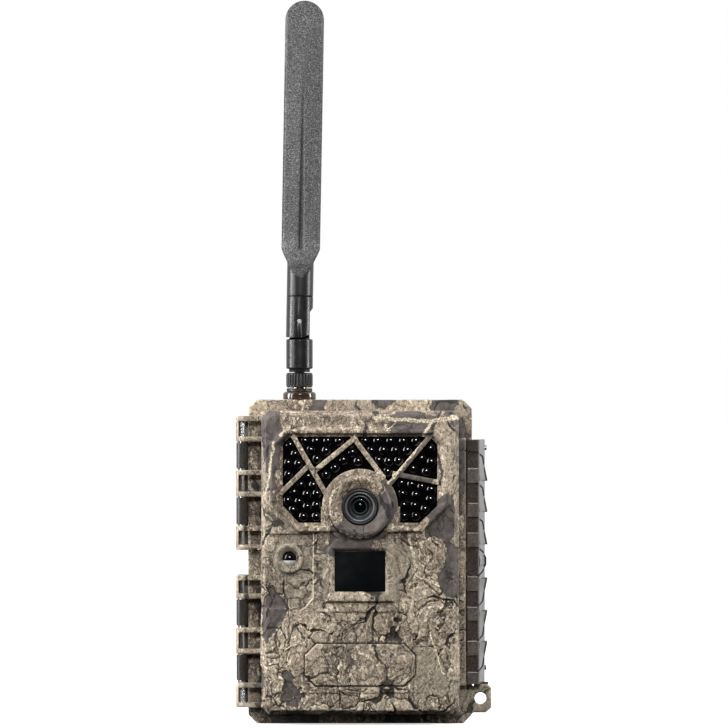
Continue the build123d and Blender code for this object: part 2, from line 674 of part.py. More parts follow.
def led_panel():
    """Black plate behind the window, with a hole for every LED."""
    front = FRONT_INSIDE - LED_PANEL_T
    panel = slab(cut_rect(-36.2, 36.2, 84.4, 127.0, 9.0, 4.0), front, FRONT_INSIDE)
    panel -= rod_y(0, LENS_Z, LENS_R + 0.3, front - 1, FRONT_INSIDE + 1)
    for x, z in LEDS:
        panel -= rod_y(x, z, LED_R + 0.1, front - 1, FRONT_INSIDE + 1)
    return panel


def infrared_leds():
    front = FACE_Y - 0.2
    leds = []
    for x, z in LEDS:
        body = rod_y(x, z, LED_R, front + LED_R, -38.5)
        leds.append(body + Pos(x, front + LED_R, z) * Sphere(LED_R))
    return group(leds)


def led_board():
    board = slab(cut_rect(-33.5, 33.5, 86.0, 125.6, 4.0), -38.5, -37.1)
    return board - rod_y(0, LENS_Z, 10.5, -39.0, -36.0)


def pir_window():
    """Flat motion-sensor window, held by a flange behind the wall."""
    w = PIR_HALF_W - 0.05
    h = PIR_HALF_H - 0.05
    pane = block(-w, w, RAISED_Y + 1.5, FRONT_INSIDE + 0.5, PIR_Z - h, PIR_Z + h)
    return pane + block(-w - 1.5, w + 1.5, FRONT_INSIDE, FRONT_INSIDE + 1, PIR_Z - h - 1.5, PIR_Z + h + 1.5)


def pir_sensor():
    can = rod_y(0, PIR_Z, 4.2, -32.6, -28.0) + rod_y(0, PIR_Z, 4.8, -28.1, BOARD_FRONT)
    return can - block(-2.0, 2.0, -33.0, -32.2, PIR_Z - 1.5, PIR_Z + 1.5)


def light_sensor_lens():
    dome_r = 3.4
    seat = FACE_Y + 1.0
    dome = Pos(LIGHT_X, seat + 1.9, LIGHT_Z) * Sphere(dome_r)
    lens = rod_y(LIGHT_X, LIGHT_Z, LIGHT_R, seat - 4, FRONT_INSIDE + 0.5)
    lens = lens & (dome + rod_y(LIGHT_X, LIGHT_Z, LIGHT_R + 1, seat + 1.9, FRONT_INSIDE + 1))
    return lens + rod_y(LIGHT_X, LIGHT_Z, LIGHT_R + 1.5, FRONT_INSIDE, FRONT_INSIDE + 1)


def light_sensor():
    return rod_y(LIGHT_X, LIGHT_Z, 2.5, -33.0, BOARD_FRONT)


def main_board():
    board = block(-33.2, 33.2, BOARD_FRONT, BOARD_BACK, 9.0, 82.0)
    for x, z in BOARD_POSTS:
        board -= rod_y(x, z, 1.0, BOARD_FRONT - 1, BOARD_BACK + 1)
    return board


def board_chips():
    chips = []
    for x, z, w, h in ((-12, 30, 14, 14), (8, 32, 10, 12), (14, 52, 8, 5), (-20, 52, 9, 9), (24, 22, 6, 4)):
        chips.append(block(x - w / 2, x + w / 2, BOARD_FRONT - 1.3, BOARD_FRONT, z - h / 2, z + h / 2))
    return group(chips)


def board_screws():
    screws = []
    for x, z in BOARD_POSTS:
        screws.append(post_screw(x, z, 1.9, 1.0, BOARD_BACK, BOARD_FRONT - 6, 1.2))
    return group(screws)


def control_panel():
    """Inner panel that closes the cover and carries the screen, keys, switch and card."""
    panel = slab(cut_rect(-39.2, 39.2, 8.1, 132.2, 2.2), PANEL_FRONT, PANEL_BACK)
    panel -= block(-20.9, 20.9, PANEL_FRONT - 1, PANEL_BACK + 1, SCREEN_Z[0], SCREEN_Z[1])
    for x, z in KEYS.values():
        panel -= rod_y(x, z, KEY_R + 0.25, PANEL_FRONT - 1, PANEL_BACK + 1)
    panel -= block(SWITCH_X - 1.7, SWITCH_X + 1.7, PANEL_FRONT - 1, PANEL_BACK + 1,
                   SWITCH_Z - 2.3, SWITCH_Z + SWITCH_TRAVEL + 2.3)
    panel -= block(CARD_X[0] - 2.1, CARD_X[1] + 2.1, PANEL_FRONT - 1, PANEL_BACK + 1,
                   CARD_BOTTOM - 2, CARD_BOTTOM + CARD_LENGTH + CARD_EJECT + 1)
    panel -= block(25.6, 33.4, PANEL_FRONT - 1, PANEL_BACK + 1, 18.6, 23.4)
    for x, z in PANEL_POSTS:
        panel -= rod_y(x, z, 1.1, PANEL_FRONT - 1, PANEL_BACK + 1)
    return panel


def cover_screws():
    screws = []
    for x, z in PANEL_POSTS:
        screws.append(post_screw(x, z, 2.2, 1.1, PANEL_BACK, PANEL_FRONT - 7, 1.2))
    return group(screws)


def lcd_screen():
    z0, z1 = SCREEN_Z
    screen = block(-24.0, 24.0, -26.6, PANEL_FRONT, z0 - 2.5, z1 + 3)
    return screen + block(-20.7, 20.7, PANEL_FRONT - 0.1, PANEL_BACK - 0.4, z0 + 0.2, z1 - 0.2)


def usb_port():
    port = block(25.8, 33.2, BOARD_BACK, PANEL_BACK - 0.2, 18.8, 23.2)
    return port - block(26.6, 32.4, BOARD_BACK + 1, PANEL_BACK, 19.6, 22.4)


def card_slot():
    x0, x1 = CARD_X
    shell = block(x0 - 1.7, x1 + 1.7, BOARD_BACK, PANEL_BACK - 0.1, CARD_BOTTOM - 1.6, CARD_BOTTOM + 24)
    return shell - block(x0 - 0.2, x1 + 0.2, -24.9, -22.5, CARD_BOTTOM - 0.2, CARD_BOTTOM + 25)


def sd_card():
    x0, x1 = CARD_X
    y0 = -24.75
    y1 = -22.65
    top = CARD_BOTTOM + CARD_LENGTH
    face = make_face(Polyline((x0, CARD_BOTTOM), (x1, CARD_BOTTOM), (x1, top), (x0, top), close=True))
    card = extrude(Plane.XZ.offset(-y1) * face, amount=y1 - y0)
    return card - block(x0 - 1, x0 + 3, y0 - 1, y1 + 1, CARD_BOTTOM - 1, CARD_BOTTOM + 3)


def key(x, z):
    """A round key cap with a flange that keeps it behind the panel."""
    cap = rod_y(x, z, KEY_R, PANEL_FRONT - 0.2, PANEL_BACK + 0.8)
    cap = chamfer(cap.faces().sort_by(Axis.Y)[-1].edges(), 0.5)
    return cap + rod_y(x, z, KEY_FLANGE_R, PANEL_FRONT - 0.7, PANEL_FRONT - 0.15)


def mode_switch():
    knob = block(SWITCH_X - 1.5, SWITCH_X + 1.5, PANEL_FRONT - 0.6, PANEL_BACK + 1.2,
                 SWITCH_Z - 2, SWITCH_Z + 2)
    return knob + block(SWITCH_X - 3.0, SWITCH_X + 3.0, PANEL_FRONT - 0.9, PANEL_FRONT - 0.3,
                        SWITCH_Z - 3.5, SWITCH_Z + 3.5)


# ---------------------------------------------------------------- side latch
def latch_section(front, eye):
    """Cross-section of the lever in (x, y): front strip, sloped side and, if eye, the pivot end."""
    points = [(46.1, front + 0.6), (46.5, front), (51.0, front), (51.6, front + 1.0), (54.2, -9.0)]
    if eye:
        points += [(54.0, LATCH_PIVOT_Y), (49.6, LATCH_PIVOT_Y)]
    else:
        points += [(54.2, 7.0), (49.2, 7.0)]
    return points + [(49.2, -20.0), (46.1, -20.0)]


def latch_steps():
    """Heights at which the front strip of the lever changes level."""
    upper = [(LATCH_TOP, 117.7), (117.7, 110.6), (110.6, 104.2), (104.2, 95.5), (95.5, 89.5),
             (89.5, 82.7), (82.7, 76.3), (76.3, LATCH_MIDDLE)]
    lower = [(2 * LATCH_MIDDLE - z1, 2 * LATCH_MIDDLE - z0) for z0, z1 in reversed(upper[:-1])]
    middle = (upper[-1][0], 2 * LATCH_MIDDLE - upper[-1][0])
    return upper[:-1] + [middle] + lower


def latch_scale(top, bottom):
    """A raised scale on the outer side, flaring away from the top towards the bottom."""
    return [(50.6, top), (53.4, top - 2.4), (55.3, bottom + 0.6), (55.3, bottom), (50.6, bottom)]


def scale_face(top, bottom):
    """The two ends of a scale's sloped outer face, which leaves a narrow rim at its rear end."""
    front = [(50.6, top - 0.4), (51.4, top - 2.2), (51.9, bottom + 0.8), (51.9, bottom + 0.3),
             (50.6, bottom + 0.3)]
    rear = [(50.6, top - 0.6), (53.1, top - 2.7), (54.8, bottom + 0.8), (54.8, bottom + 0.3),
            (50.6, bottom + 0.3)]
    return front, rear


def latch_lever():
    strip_front = -25.0
    level = 0.5
    face_y = -23.0           # the scales' sloped faces run from here back to their rims
    rim_y = -9.5
    lever = None
    for i, (z1, z0) in enumerate(latch_steps()):
        step = plan(latch_section(strip_front + level * (i % 2), False), z0, z1)
        lever = step if lever is None else lever + step
    low, high = latch_lugs()
    eye_low = low[1] + 0.3
    eye_high = high[0] - 0.3
    lever += block(49.4, 53.7, 6.9, LATCH_PIVOT_Y, eye_low, eye_high)
    lever += rod_z(LATCH_PIVOT_X, LATCH_PIVOT_Y, LATCH_EYE_R, eye_low, eye_high)
    lever -= rod_z(LATCH_PIVOT_X, LATCH_PIVOT_Y, PIN_R + RUNNING, eye_low - 1, eye_high + 1)
    for top, bottom in ((117.7, 104.9), (104.2, 91.4), (89.5, 77.3)):
        scale = latch_scale(top, bottom)
        front, rear = scale_face(top, bottom)
        lever += slab(scale, rim_y, 4.0) + taper(front, face_y, rear, rim_y)
        lever += slab(mirrored_z(scale, LATCH_MIDDLE), rim_y, 4.0)
        lever += taper(mirrored_z(front, LATCH_MIDDLE), face_y, mirrored_z(rear, LATCH_MIDDLE), rim_y)
    centre = [(50.6, 63.6), (53.6, 65.9), (54.9, 68.6), (54.9, 71.5), (53.6, 74.2), (50.6, 76.5)]
    front = [(50.6, 64.4), (51.5, 66.4), (51.9, 68.8), (51.9, 71.3), (51.5, 73.7), (50.6, 75.7)]
    rear = [(50.6, 64.2), (53.3, 66.3), (54.4, 68.8), (54.4, 71.3), (53.3, 73.8), (50.6, 75.9)]
    lever += slab(centre, rim_y, 4.0) + taper(front, face_y, rear, rim_y)
    tongue = block(49.4, 55.6, -12.4, -9.6, 6.4, LATCH_BOTTOM + 0.5)
    tongue -= rod_y(TAB_HOLE_X, TAB_HOLE_Z, TAB_HOLE_R + 0.4, -13.0, -9.0)
    return lever + tongue


# ---------------------------------------------------------------- antenna
def antenna_nut():
    """Knurled coupling nut, kept on the antenna by its inner lip."""
    nut = rod_z(ANT_X, ANT_Y, ANT_R, 145.4, 151.9)
    nut = chamfer(nut.edges().filter_by(GeomType.CIRCLE), 0.5)
    nut -= rod_z(ANT_X, ANT_Y, 3.15 + RUNNING, 145.0, 150.9)
    return nut - rod_z(ANT_X, ANT_Y, 2.2 + RUNNING, 150.0, 153.0)


def antenna_base():
    """Swivelling barrel with the upright tongue that the paddle folds on."""
    base = rod_z(ANT_X, ANT_Y, ANT_R, 153.6, 166.6)
    base = chamfer(base.edges().filter_by(GeomType.CIRCLE), 0.4)
    base += rod_z(ANT_X, ANT_Y, 4.6, 152.2, 153.7)
    base += rod_z(ANT_X, ANT_Y, 2.2, 150.5, 152.3)
    base += rod_z(ANT_X, ANT_Y, 3.0, 150.2, 150.7)
    tongue = block(ANT_X - 4.4, ANT_X + 4.4, ANT_Y - 1.9, ANT_Y + 1.9, 166.5, ANT_PIVOT_Z)
    tongue += rod_y(ANT_X, ANT_PIVOT_Z, 4.4, ANT_Y - 1.9, ANT_Y + 1.9)
    tongue -= rod_y(ANT_X, ANT_PIVOT_Z, 1.05 + RUNNING, ANT_Y - 3, ANT_Y + 3)
    return base + tongue


def leaning(shape):
    """The paddle's rest position: leaning slightly to the right about the fold pin."""
    return shape.rotate(Axis((ANT_X, ANT_Y, ANT_PIVOT_Z), (0, 1, 0)), ANT_TILT)


def antenna_yoke():
    """Slotted barrel over the tongue, cut back on the side it folds to."""
    yoke = rod_z(ANT_X, ANT_Y, ANT_R, 167.3, 185.1)
    swing = rod_y(ANT_X, ANT_PIVOT_Z, 7.25, ANT_Y - 8, ANT_Y + 8)
    yoke -= block(ANT_X, ANT_X + 9, ANT_Y - 8, ANT_Y + 8, 165.0, ANT_PIVOT_Z) - swing
    relief = [(ANT_X + 4.5, 165.0), (ANT_X + 9, 165.0), (ANT_X + 9, 181.0), (ANT_X + 6.4, 181.0),
              (ANT_X + 4.5, 178.6)]
    yoke -= slab(relief, ANT_Y - 8, ANT_Y + 8)
    slot = rod_y(ANT_X, ANT_PIVOT_Z, 4.8, ANT_Y - 2.1, ANT_Y + 2.1)
    slot += block(ANT_X - 4.8, ANT_X + 9, ANT_Y - 2.1, ANT_Y + 2.1, 165.0, ANT_PIVOT_Z)
    slot += block(ANT_X, ANT_X + 9, ANT_Y - 2.1, ANT_Y + 2.1, 165.0, ANT_PIVOT_Z + 4.8)
    yoke -= slot
    yoke -= rod_y(ANT_X, ANT_PIVOT_Z, 1.05, ANT_Y - 8, ANT_Y + 8)
    yoke -= rod_z(ANT_X, ANT_Y, 1.5, 180.5, 186.0)
    return leaning(yoke)


def antenna_fold_pin():
    return leaning(rod_y(ANT_X, ANT_PIVOT_Z, 1.05, ANT_Y - 5.3, ANT_Y + 5.3))


def blade_outline():
    """Half outline of the paddle from the bottom of its shield to its tip, as (offset, z)."""
    return [(0.0, 194.4), (2.9, 195.2), (4.9, 197.9), (6.0, 200.6), (7.4, 203.4),
            (BLADE_HALF_W, 206.0), (BLADE_HALF_W, TIP_Z)]


def antenna_blade():
    """Flat paddle with its round shank; hollow for the radiator."""
    half = BLADE_T / 2
    right = blade_outline()
    left = [(-x, z) for x, z in reversed(right)]
    edge = Polyline(*right)
    tip = ThreePointArc((BLADE_HALF_W, TIP_Z), (0.0, ANT_TOP), (-BLADE_HALF_W, TIP_Z))
    face = make_face([edge, tip, Polyline(*left)])
    blade = extrude(Plane.XZ.offset(half) * face, amount=-BLADE_T)
    corners = blade.edges().filter_by(lambda e: abs(e.center().Y) > half - 0.01)
    blade = chamfer(corners, 1.6)
    shank = Pos(0, 0, (185.1 + 204.0) / 2) * Cylinder(ANT_R, 204.0 - 185.1)
    blade += shank
    blade -= Pos(0, 0, (185.0 + 300.0) / 2) * Cylinder(1.5, 115.0)
    return leaning(Pos(ANT_X, ANT_Y, 0) * blade)


def antenna_radiator():
    """Coaxial dipole element inside the paddle."""
    return leaning(rod_z(ANT_X, ANT_Y, 1.5, 180.5, 296.0))


# ---------------------------------------------------------------- write every sub-part
PARTS = {
    "rear_housing": rear_housing, "hinge_barrels": hinge_barrels, "hinge_screws": hinge_screws,
    "latch_pin": latch_pin, "latch_pin_screws": latch_pin_screws, "tripod_insert": tripod_insert,
    "battery_tray": battery_tray, "aa_cells": aa_cells, "battery_contacts": battery_contacts,
    "battery_springs": battery_springs, "modem_board": modem_board, "modem_module": modem_module,
    "sim_holder": sim_holder, "rear_screws": rear_screws, "antenna_jack": antenna_jack,
    "jack_collar": jack_collar, "jack_nut": jack_nut,
    "front_cover": front_cover, "hinge_pins": hinge_pins, "gasket": gasket,
    "lens_bezel": lens_bezel, "lens_barrel": lens_barrel, "lens_front_glass": lens_front_glass,
    "lens_mount": lens_mount, "sensor_board": sensor_board, "image_sensor": image_sensor,
    "led_panel": led_panel, "infrared_leds": infrared_leds, "led_board": led_board,
    "pir_window": pir_window, "pir_sensor": pir_sensor, "light_sensor_lens": light_sensor_lens,
    "light_sensor": light_sensor, "main_board": main_board, "board_chips": board_chips,
    "board_screws": board_screws, "control_panel": control_panel, "cover_screws": cover_screws,
    "lcd_screen": lcd_screen, "usb_port": usb_port, "card_slot": card_slot,
    "ir_filter_frame": ir_filter_frame, "ir_filter_glass": ir_filter_glass, "sd_card": sd_card,
    "mode_switch": mode_switch, "latch_lever": latch_lever, "antenna_nut": antenna_nut,
    "antenna_base": antenna_base, "antenna_yoke": antenna_yoke, "antenna_fold_pin": antenna_fold_pin,
    "antenna_blade": antenna_blade, "antenna_radiator": antenna_radiator,
}

os.makedirs("parts", exist_ok=True)
for name, make in PARTS.items():
    export_step(make(), f"parts/{name}.step")
for name, (key_x, key_z) in KEYS.items():
    export_step(key(key_x, key_z), f"parts/{name}.step")
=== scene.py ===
import json
import math

import bmesh
import bpy
import numpy as np
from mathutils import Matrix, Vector
from mathutils.bvhtree import BVHTree


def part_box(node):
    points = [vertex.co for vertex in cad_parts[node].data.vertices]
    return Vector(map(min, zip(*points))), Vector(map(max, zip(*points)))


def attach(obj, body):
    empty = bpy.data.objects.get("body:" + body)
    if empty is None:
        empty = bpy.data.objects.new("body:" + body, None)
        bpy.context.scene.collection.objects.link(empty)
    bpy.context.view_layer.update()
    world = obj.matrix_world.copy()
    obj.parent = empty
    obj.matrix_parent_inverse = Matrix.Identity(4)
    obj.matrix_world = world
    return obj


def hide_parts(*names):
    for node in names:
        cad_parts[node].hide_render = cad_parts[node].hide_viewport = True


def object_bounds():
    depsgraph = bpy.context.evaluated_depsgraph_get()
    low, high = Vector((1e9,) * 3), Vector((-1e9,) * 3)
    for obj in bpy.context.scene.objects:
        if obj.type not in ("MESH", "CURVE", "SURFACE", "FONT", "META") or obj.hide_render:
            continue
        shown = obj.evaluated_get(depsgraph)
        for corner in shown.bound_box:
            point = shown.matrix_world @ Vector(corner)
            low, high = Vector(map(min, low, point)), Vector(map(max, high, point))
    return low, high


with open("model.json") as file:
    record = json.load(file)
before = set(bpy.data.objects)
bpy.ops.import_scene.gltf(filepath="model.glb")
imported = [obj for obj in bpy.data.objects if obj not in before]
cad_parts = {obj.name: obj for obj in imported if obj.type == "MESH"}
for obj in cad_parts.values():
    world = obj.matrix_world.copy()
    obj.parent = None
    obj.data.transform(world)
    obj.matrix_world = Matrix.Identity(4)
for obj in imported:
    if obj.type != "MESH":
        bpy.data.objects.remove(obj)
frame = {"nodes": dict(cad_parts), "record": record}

# Trail camera: the CAD frame dressed with moulded bark relief, camouflage print, lens, LEDs and
# speckled antenna.  Metres, in the frame of the CAD model: X right, -Y towards the viewer, Z up.

MM = 0.001
NODES = frame["nodes"]
BODY_OF = {n: b for b, ns in frame["record"]["behaviour"]["bodies"].items() for n in ns}
SLOT_OF = {s["node"]: s["material_slot"] for s in frame["record"]["subparts"]}
CAD_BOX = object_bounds()
WELD = 0.002 * MM             # split vertices of the CAD meshes lie closer than this
BEVEL_FROM = 25               # degrees between faces from which an edge is softened
SHARP_FROM = 24               # and from which a softened part still shows an edge


# ---------------- node trees
class Tree:
    """Short ways to make and link nodes in a shader or geometry node tree."""

    def __init__(self, tree):
        self.tree = tree

    def node(self, kind, values=None, **settings):
        made = self.tree.nodes.new(kind)
        for name, value in settings.items():
            setattr(made, name, value)
        self.fill(made, values or {})
        return made

    def fill(self, node, values):
        """Feeds values or sockets into a node's inputs, by name or number."""
        for name, value in values.items():
            self.feed(node.inputs[name], value)

    def feed(self, socket, value):
        if isinstance(value, bpy.types.NodeSocket):
            self.tree.links.new(value, socket)
        elif value is not None:
            socket.default_value = rgba(value) if isinstance(value, tuple) and is_bytes(value) else value

    def math(self, operation, a, b=None, c=None, clamp=False):
        made = self.node("ShaderNodeMath", operation=operation, use_clamp=clamp)
        for socket, value in zip(made.inputs, (a, b, c)):
            self.feed(socket, value)
        return made.outputs[0]

    def times(self, a, b):
        return self.math("MULTIPLY", a, b)

    def plus(self, a, b):
        return self.math("ADD", a, b)

    def minus(self, a, b):
        return self.math("SUBTRACT", a, b)

    def larger(self, *values):
        """The largest of several values."""
        result = values[0]
        for value in values[1:]:
            result = self.math("MAXIMUM", result, value)
        return result

    def near(self, value, centre, inner, outer):
        """1 where value is within inner of centre, falling to 0 at outer."""
        return self.step(self.math("ABSOLUTE", self.minus(value, centre)), inner, outer, 1.0, 0.0)

    def vector(self, operation, a, b=None, scale=None):
        made = self.node("ShaderNodeVectorMath", operation=operation)
        self.feed(made.inputs[0], a)
        if b is not None:
            self.feed(made.inputs[1], b)
        if scale is not None:
            self.feed(made.inputs["Scale"], scale)
        return made.outputs["Value" if operation in ("LENGTH", "DOT_PRODUCT", "DISTANCE") else "Vector"]

    def noise(self, vector, scale, detail=3.0, roughness=0.55, output=0):
        values = {"Vector": vector, "Scale": scale, "Detail": detail, "Roughness": roughness}
        return self.node("ShaderNodeTexNoise", values, noise_dimensions="3D").outputs[output]

    def voronoi(self, vector, scale, feature="F1", output="Distance"):
        values = {"Vector": vector, "Scale": scale, "Randomness": 1.0}
        return self.node("ShaderNodeTexVoronoi", values, voronoi_dimensions="3D", feature=feature).outputs[output]

    def step(self, value, low, high, out_low=0.0, out_high=1.0):
        """A smooth step from out_low to out_high as value goes from low to high."""
        values = {"Value": value, "From Min": low, "From Max": high, "To Min": out_low, "To Max": out_high}
        return self.node("ShaderNodeMapRange", values, interpolation_type="SMOOTHSTEP").outputs["Result"]

    def mix(self, factor, a, b):
        return self.node("ShaderNodeMix", {0: factor, 6: a, 7: b}, data_type="RGBA").outputs[2]

    def ramp(self, value, stops):
        made = self.node("ShaderNodeValToRGB")
        self.feed(made.inputs[0], value)
        elements = made.color_ramp.elements
        while len(elements) < len(stops):
            elements.new(0.5)
        for element, (position, colour) in zip(elements, stops):
            element.position = position
            element.color = rgba(colour)
        return made.outputs[0]


def is_bytes(colour):
    return all(isinstance(c, int) for c in colour)


def rgba(colour):
    """A linear colour from sRGB bytes, or the colour itself if it is already a float tuple."""
    if is_bytes(colour):
        linear = [(c / 255 / 12.92) if c < 11 else ((c / 255 + 0.055) / 1.055) ** 2.4 for c in colour]
        return (*linear, 1.0)
    return (*colour[:3], 1.0)


def new_material(name):
    material = bpy.data.materials.new(name)
    material.use_nodes = True
    tree = Tree(material.node_tree)
    material.node_tree.nodes.clear()
    out = tree.node("ShaderNodeOutputMaterial")
    shader = tree.node("ShaderNodeBsdfPrincipled")
    material.node_tree.links.new(shader.outputs[0], out.inputs[0])
    return material, tree, shader


def bump(tree, shader, height, depth, strength=1.0):
    """Bump from a 0 to 1 height that is depth millimetres deep."""
    made = tree.node("ShaderNodeBump", {"Strength": strength, "Distance": depth * MM, "Height": height})
    tree.feed(shader.inputs["Normal"], made.outputs[0])


def in_mm(tree, vector):
    return tree.vector("SCALE", vector, scale=1000.0)


def rest_point(tree):
    """The shading point in the row frame, in millimetres, before any relief was pushed out."""
    return in_mm(tree, tree.node("ShaderNodeAttribute", attribute_name="rest").outputs["Vector"])


def object_point(tree):
    return in_mm(tree, tree.node("ShaderNodeTexCoord").outputs["Object"])


def component(tree, vector, index):
    split = tree.node("ShaderNodeSeparateXYZ")
    tree.feed(split.inputs[0], vector)
    return split.outputs[index]


def inside_box(tree, point, box, soft=1.0):
    """1 inside a box given in millimetres, 0 outside, with soft edges."""
    low, high = box
    centre = tuple((a + b) / 2 for a, b in zip(low, high))
    half = tuple((b - a) / 2 for a, b in zip(low, high))
    away = tree.vector("ABSOLUTE", tree.vector("SUBTRACT", point, centre))
    away = tree.vector("SUBTRACT", away, half)
    return tree.step(tree.larger(*(component(tree, away, i) for i in range(3))), -soft, soft, 1.0, 0.0)


def outside(tree, mask):
    return tree.minus(1.0, mask)


# ---------------- bark: one field for relief and print
# Zones in millimetres, each the low and high corner of a box.
COVER_HOLLOW = ((-39.3, -40.2, 8.0), (39.3, -17.0, 132.3))
HOUSING_HOLLOW = ((-45.3, -17.2, 3.2), (45.3, 14.9, 137.0))
ROUGH_MOULDED = ((-43.5, -60.0, 4.0), (43.5, -17.0, 84.0))
COVER_FRONT = ((-43.5, -50.0, 4.0), (43.5, -37.0, 84.0))
COVER_UPPER = ((-43.5, -50.0, 84.0), (43.5, -37.0, 136.0))
COVER_SIDES = ((-43.5, -37.0, 4.0), (43.5, -21.0, 136.0))
COVER_INSIDE = ((-40.0, -40.8, 7.3), (40.0, -18.0, 133.0))
MOTION_WINDOW = ((-18.0, -50.0, 51.5), (17.0, -42.0, 83.0))
SENSOR_RING = ((-38.0, -50.0, 64.5), (-22.5, -42.0, 79.5))
SENSOR_FIELD = ((-44.0, -50.0, 61.0), (-20.7, -41.0, 84.0))
BADGE_PLATE = ((-24.8, -50.0, 16.2), (24.8, -42.0, 36.4))
HOUSING_INSIDE = ((-46.0, -16.5, 2.5), (46.0, 15.5, 137.7))
HOUSING_RIM = ((-60.0, -20.0, -1.0), (60.0, -17.5, 141.0))
LENS_RING_FRONT = ((-20.0, -60.0, 70.0), (20.0, -44.5, 120.0))

# Pale twigs as (x, z) runs in millimetres with their half width, printed and slightly raised.
TWIGS = [
    ((43.0, 133.0), (29.0, 131.0), 1.0), ((29.0, 131.0), (6.0, 132.5), 0.8),
    ((31.0, 131.0), (22.0, 116.0), 0.7), ((22.0, 116.0), (12.0, 104.5), 0.6),
    ((17.0, 132.0), (11.5, 127.0), 0.3), ((-37.0, 122.0), (-40.5, 100.0), 0.5),
    ((21.0, 82.0), (24.0, 68.0), 0.6), ((24.0, 68.0), (22.0, 50.0), 0.45),
    ((23.5, 65.0), (34.0, 60.0), 0.35), ((-19.5, 46.0), (-26.0, 30.0), 0.4),
    ((-24.0, 36.0), (-33.0, 33.0), 0.3), ((30.0, 40.0), (36.0, 22.0), 0.4),
]
LAYERS = (0.40, 0.475, 0.55, 0.63)   # values of the flake noise at which one bark layer ends
BADGE_Z = 26.3                       # middle of the badge plate
BADGE_HALF = (24.0, 9.3)             # its half width and half height
BADGE_CORNER = 28.3                  # |x| + |z| at its cut corners
FIELD_EDGE = ((-20.1, 82.4), (-20.1, 55.1), (-23.8, 50.9))


def in_front(tree, point, y):
    """1 on surfaces in front of y, so that the back of a wall stays plain."""
    return tree.step(component(tree, point, 1), y, y - 1.0)


def run_distance(tree, flat, start, end):
    """Distance from a point, flattened to y = 0, to the run between two (x, z) ends."""
    run = Vector((end[0] - start[0], 0.0, end[1] - start[1]))
    away = tree.vector("SUBTRACT", flat, (start[0], 0.0, start[1]))
    along = tree.math("DIVIDE", tree.vector("DOT_PRODUCT", away, tuple(run)), run.length_squared, clamp=True)
    return tree.vector("DISTANCE", away, tree.vector("SCALE", tuple(run), scale=along))


def smallest(tree, values):
    result = values[0]
    for value in values[1:]:
        result = tree.math("MINIMUM", result, value)
    return result


def twig_mask(tree, point):
    """1 on the pale twigs, falling to 0 at their edges."""
    wobble = tree.noise(point, 0.35, 3.0, output="Color")
    offset = tree.vector("SCALE", tree.vector("SUBTRACT", wobble, (0.5, 0.5, 0.5)), scale=2.4)
    flat = tree.vector("MULTIPLY", tree.vector("ADD", point, offset), (1.0, 0.0, 1.0))
    gaps = [tree.math("DIVIDE", run_distance(tree, flat, start, end), half) for start, end, half in TWIGS]
    shape = tree.step(smallest(tree, gaps), 0.75, 1.25, 1.0, 0.0)
    return tree.times(shape, in_front(tree, point, -37.0))


def badge_line(tree, point):
    """1 on the narrow groove round the blank badge plate."""
    across = tree.math("ABSOLUTE", component(tree, point, 0))
    up = tree.math("ABSOLUTE", tree.minus(component(tree, point, 2), BADGE_Z))
    corner = tree.times(tree.minus(tree.plus(across, up), BADGE_CORNER), 0.707)
    sides = (tree.minus(across, BADGE_HALF[0]), tree.minus(up, BADGE_HALF[1]))
    gap = tree.math("ABSOLUTE", tree.larger(*sides, corner))
    return tree.times(tree.step(gap, 0.18, 0.42, 1.0, 0.0), in_front(tree, point, -41.0))


def field_edge_highlight(tree, point):
    """1 on the edge of the sunken field round the light sensor, where a pale line is painted as a highlight."""
    flat = tree.vector("MULTIPLY", point, (1.0, 0.0, 1.0))
    gaps = [run_distance(tree, flat, start, end) for start, end in zip(FIELD_EDGE, FIELD_EDGE[1:])]
    shape = tree.step(smallest(tree, gaps), 0.12, 0.40, 1.0, 0.0)
    return tree.times(shape, in_front(tree, point, -41.0))


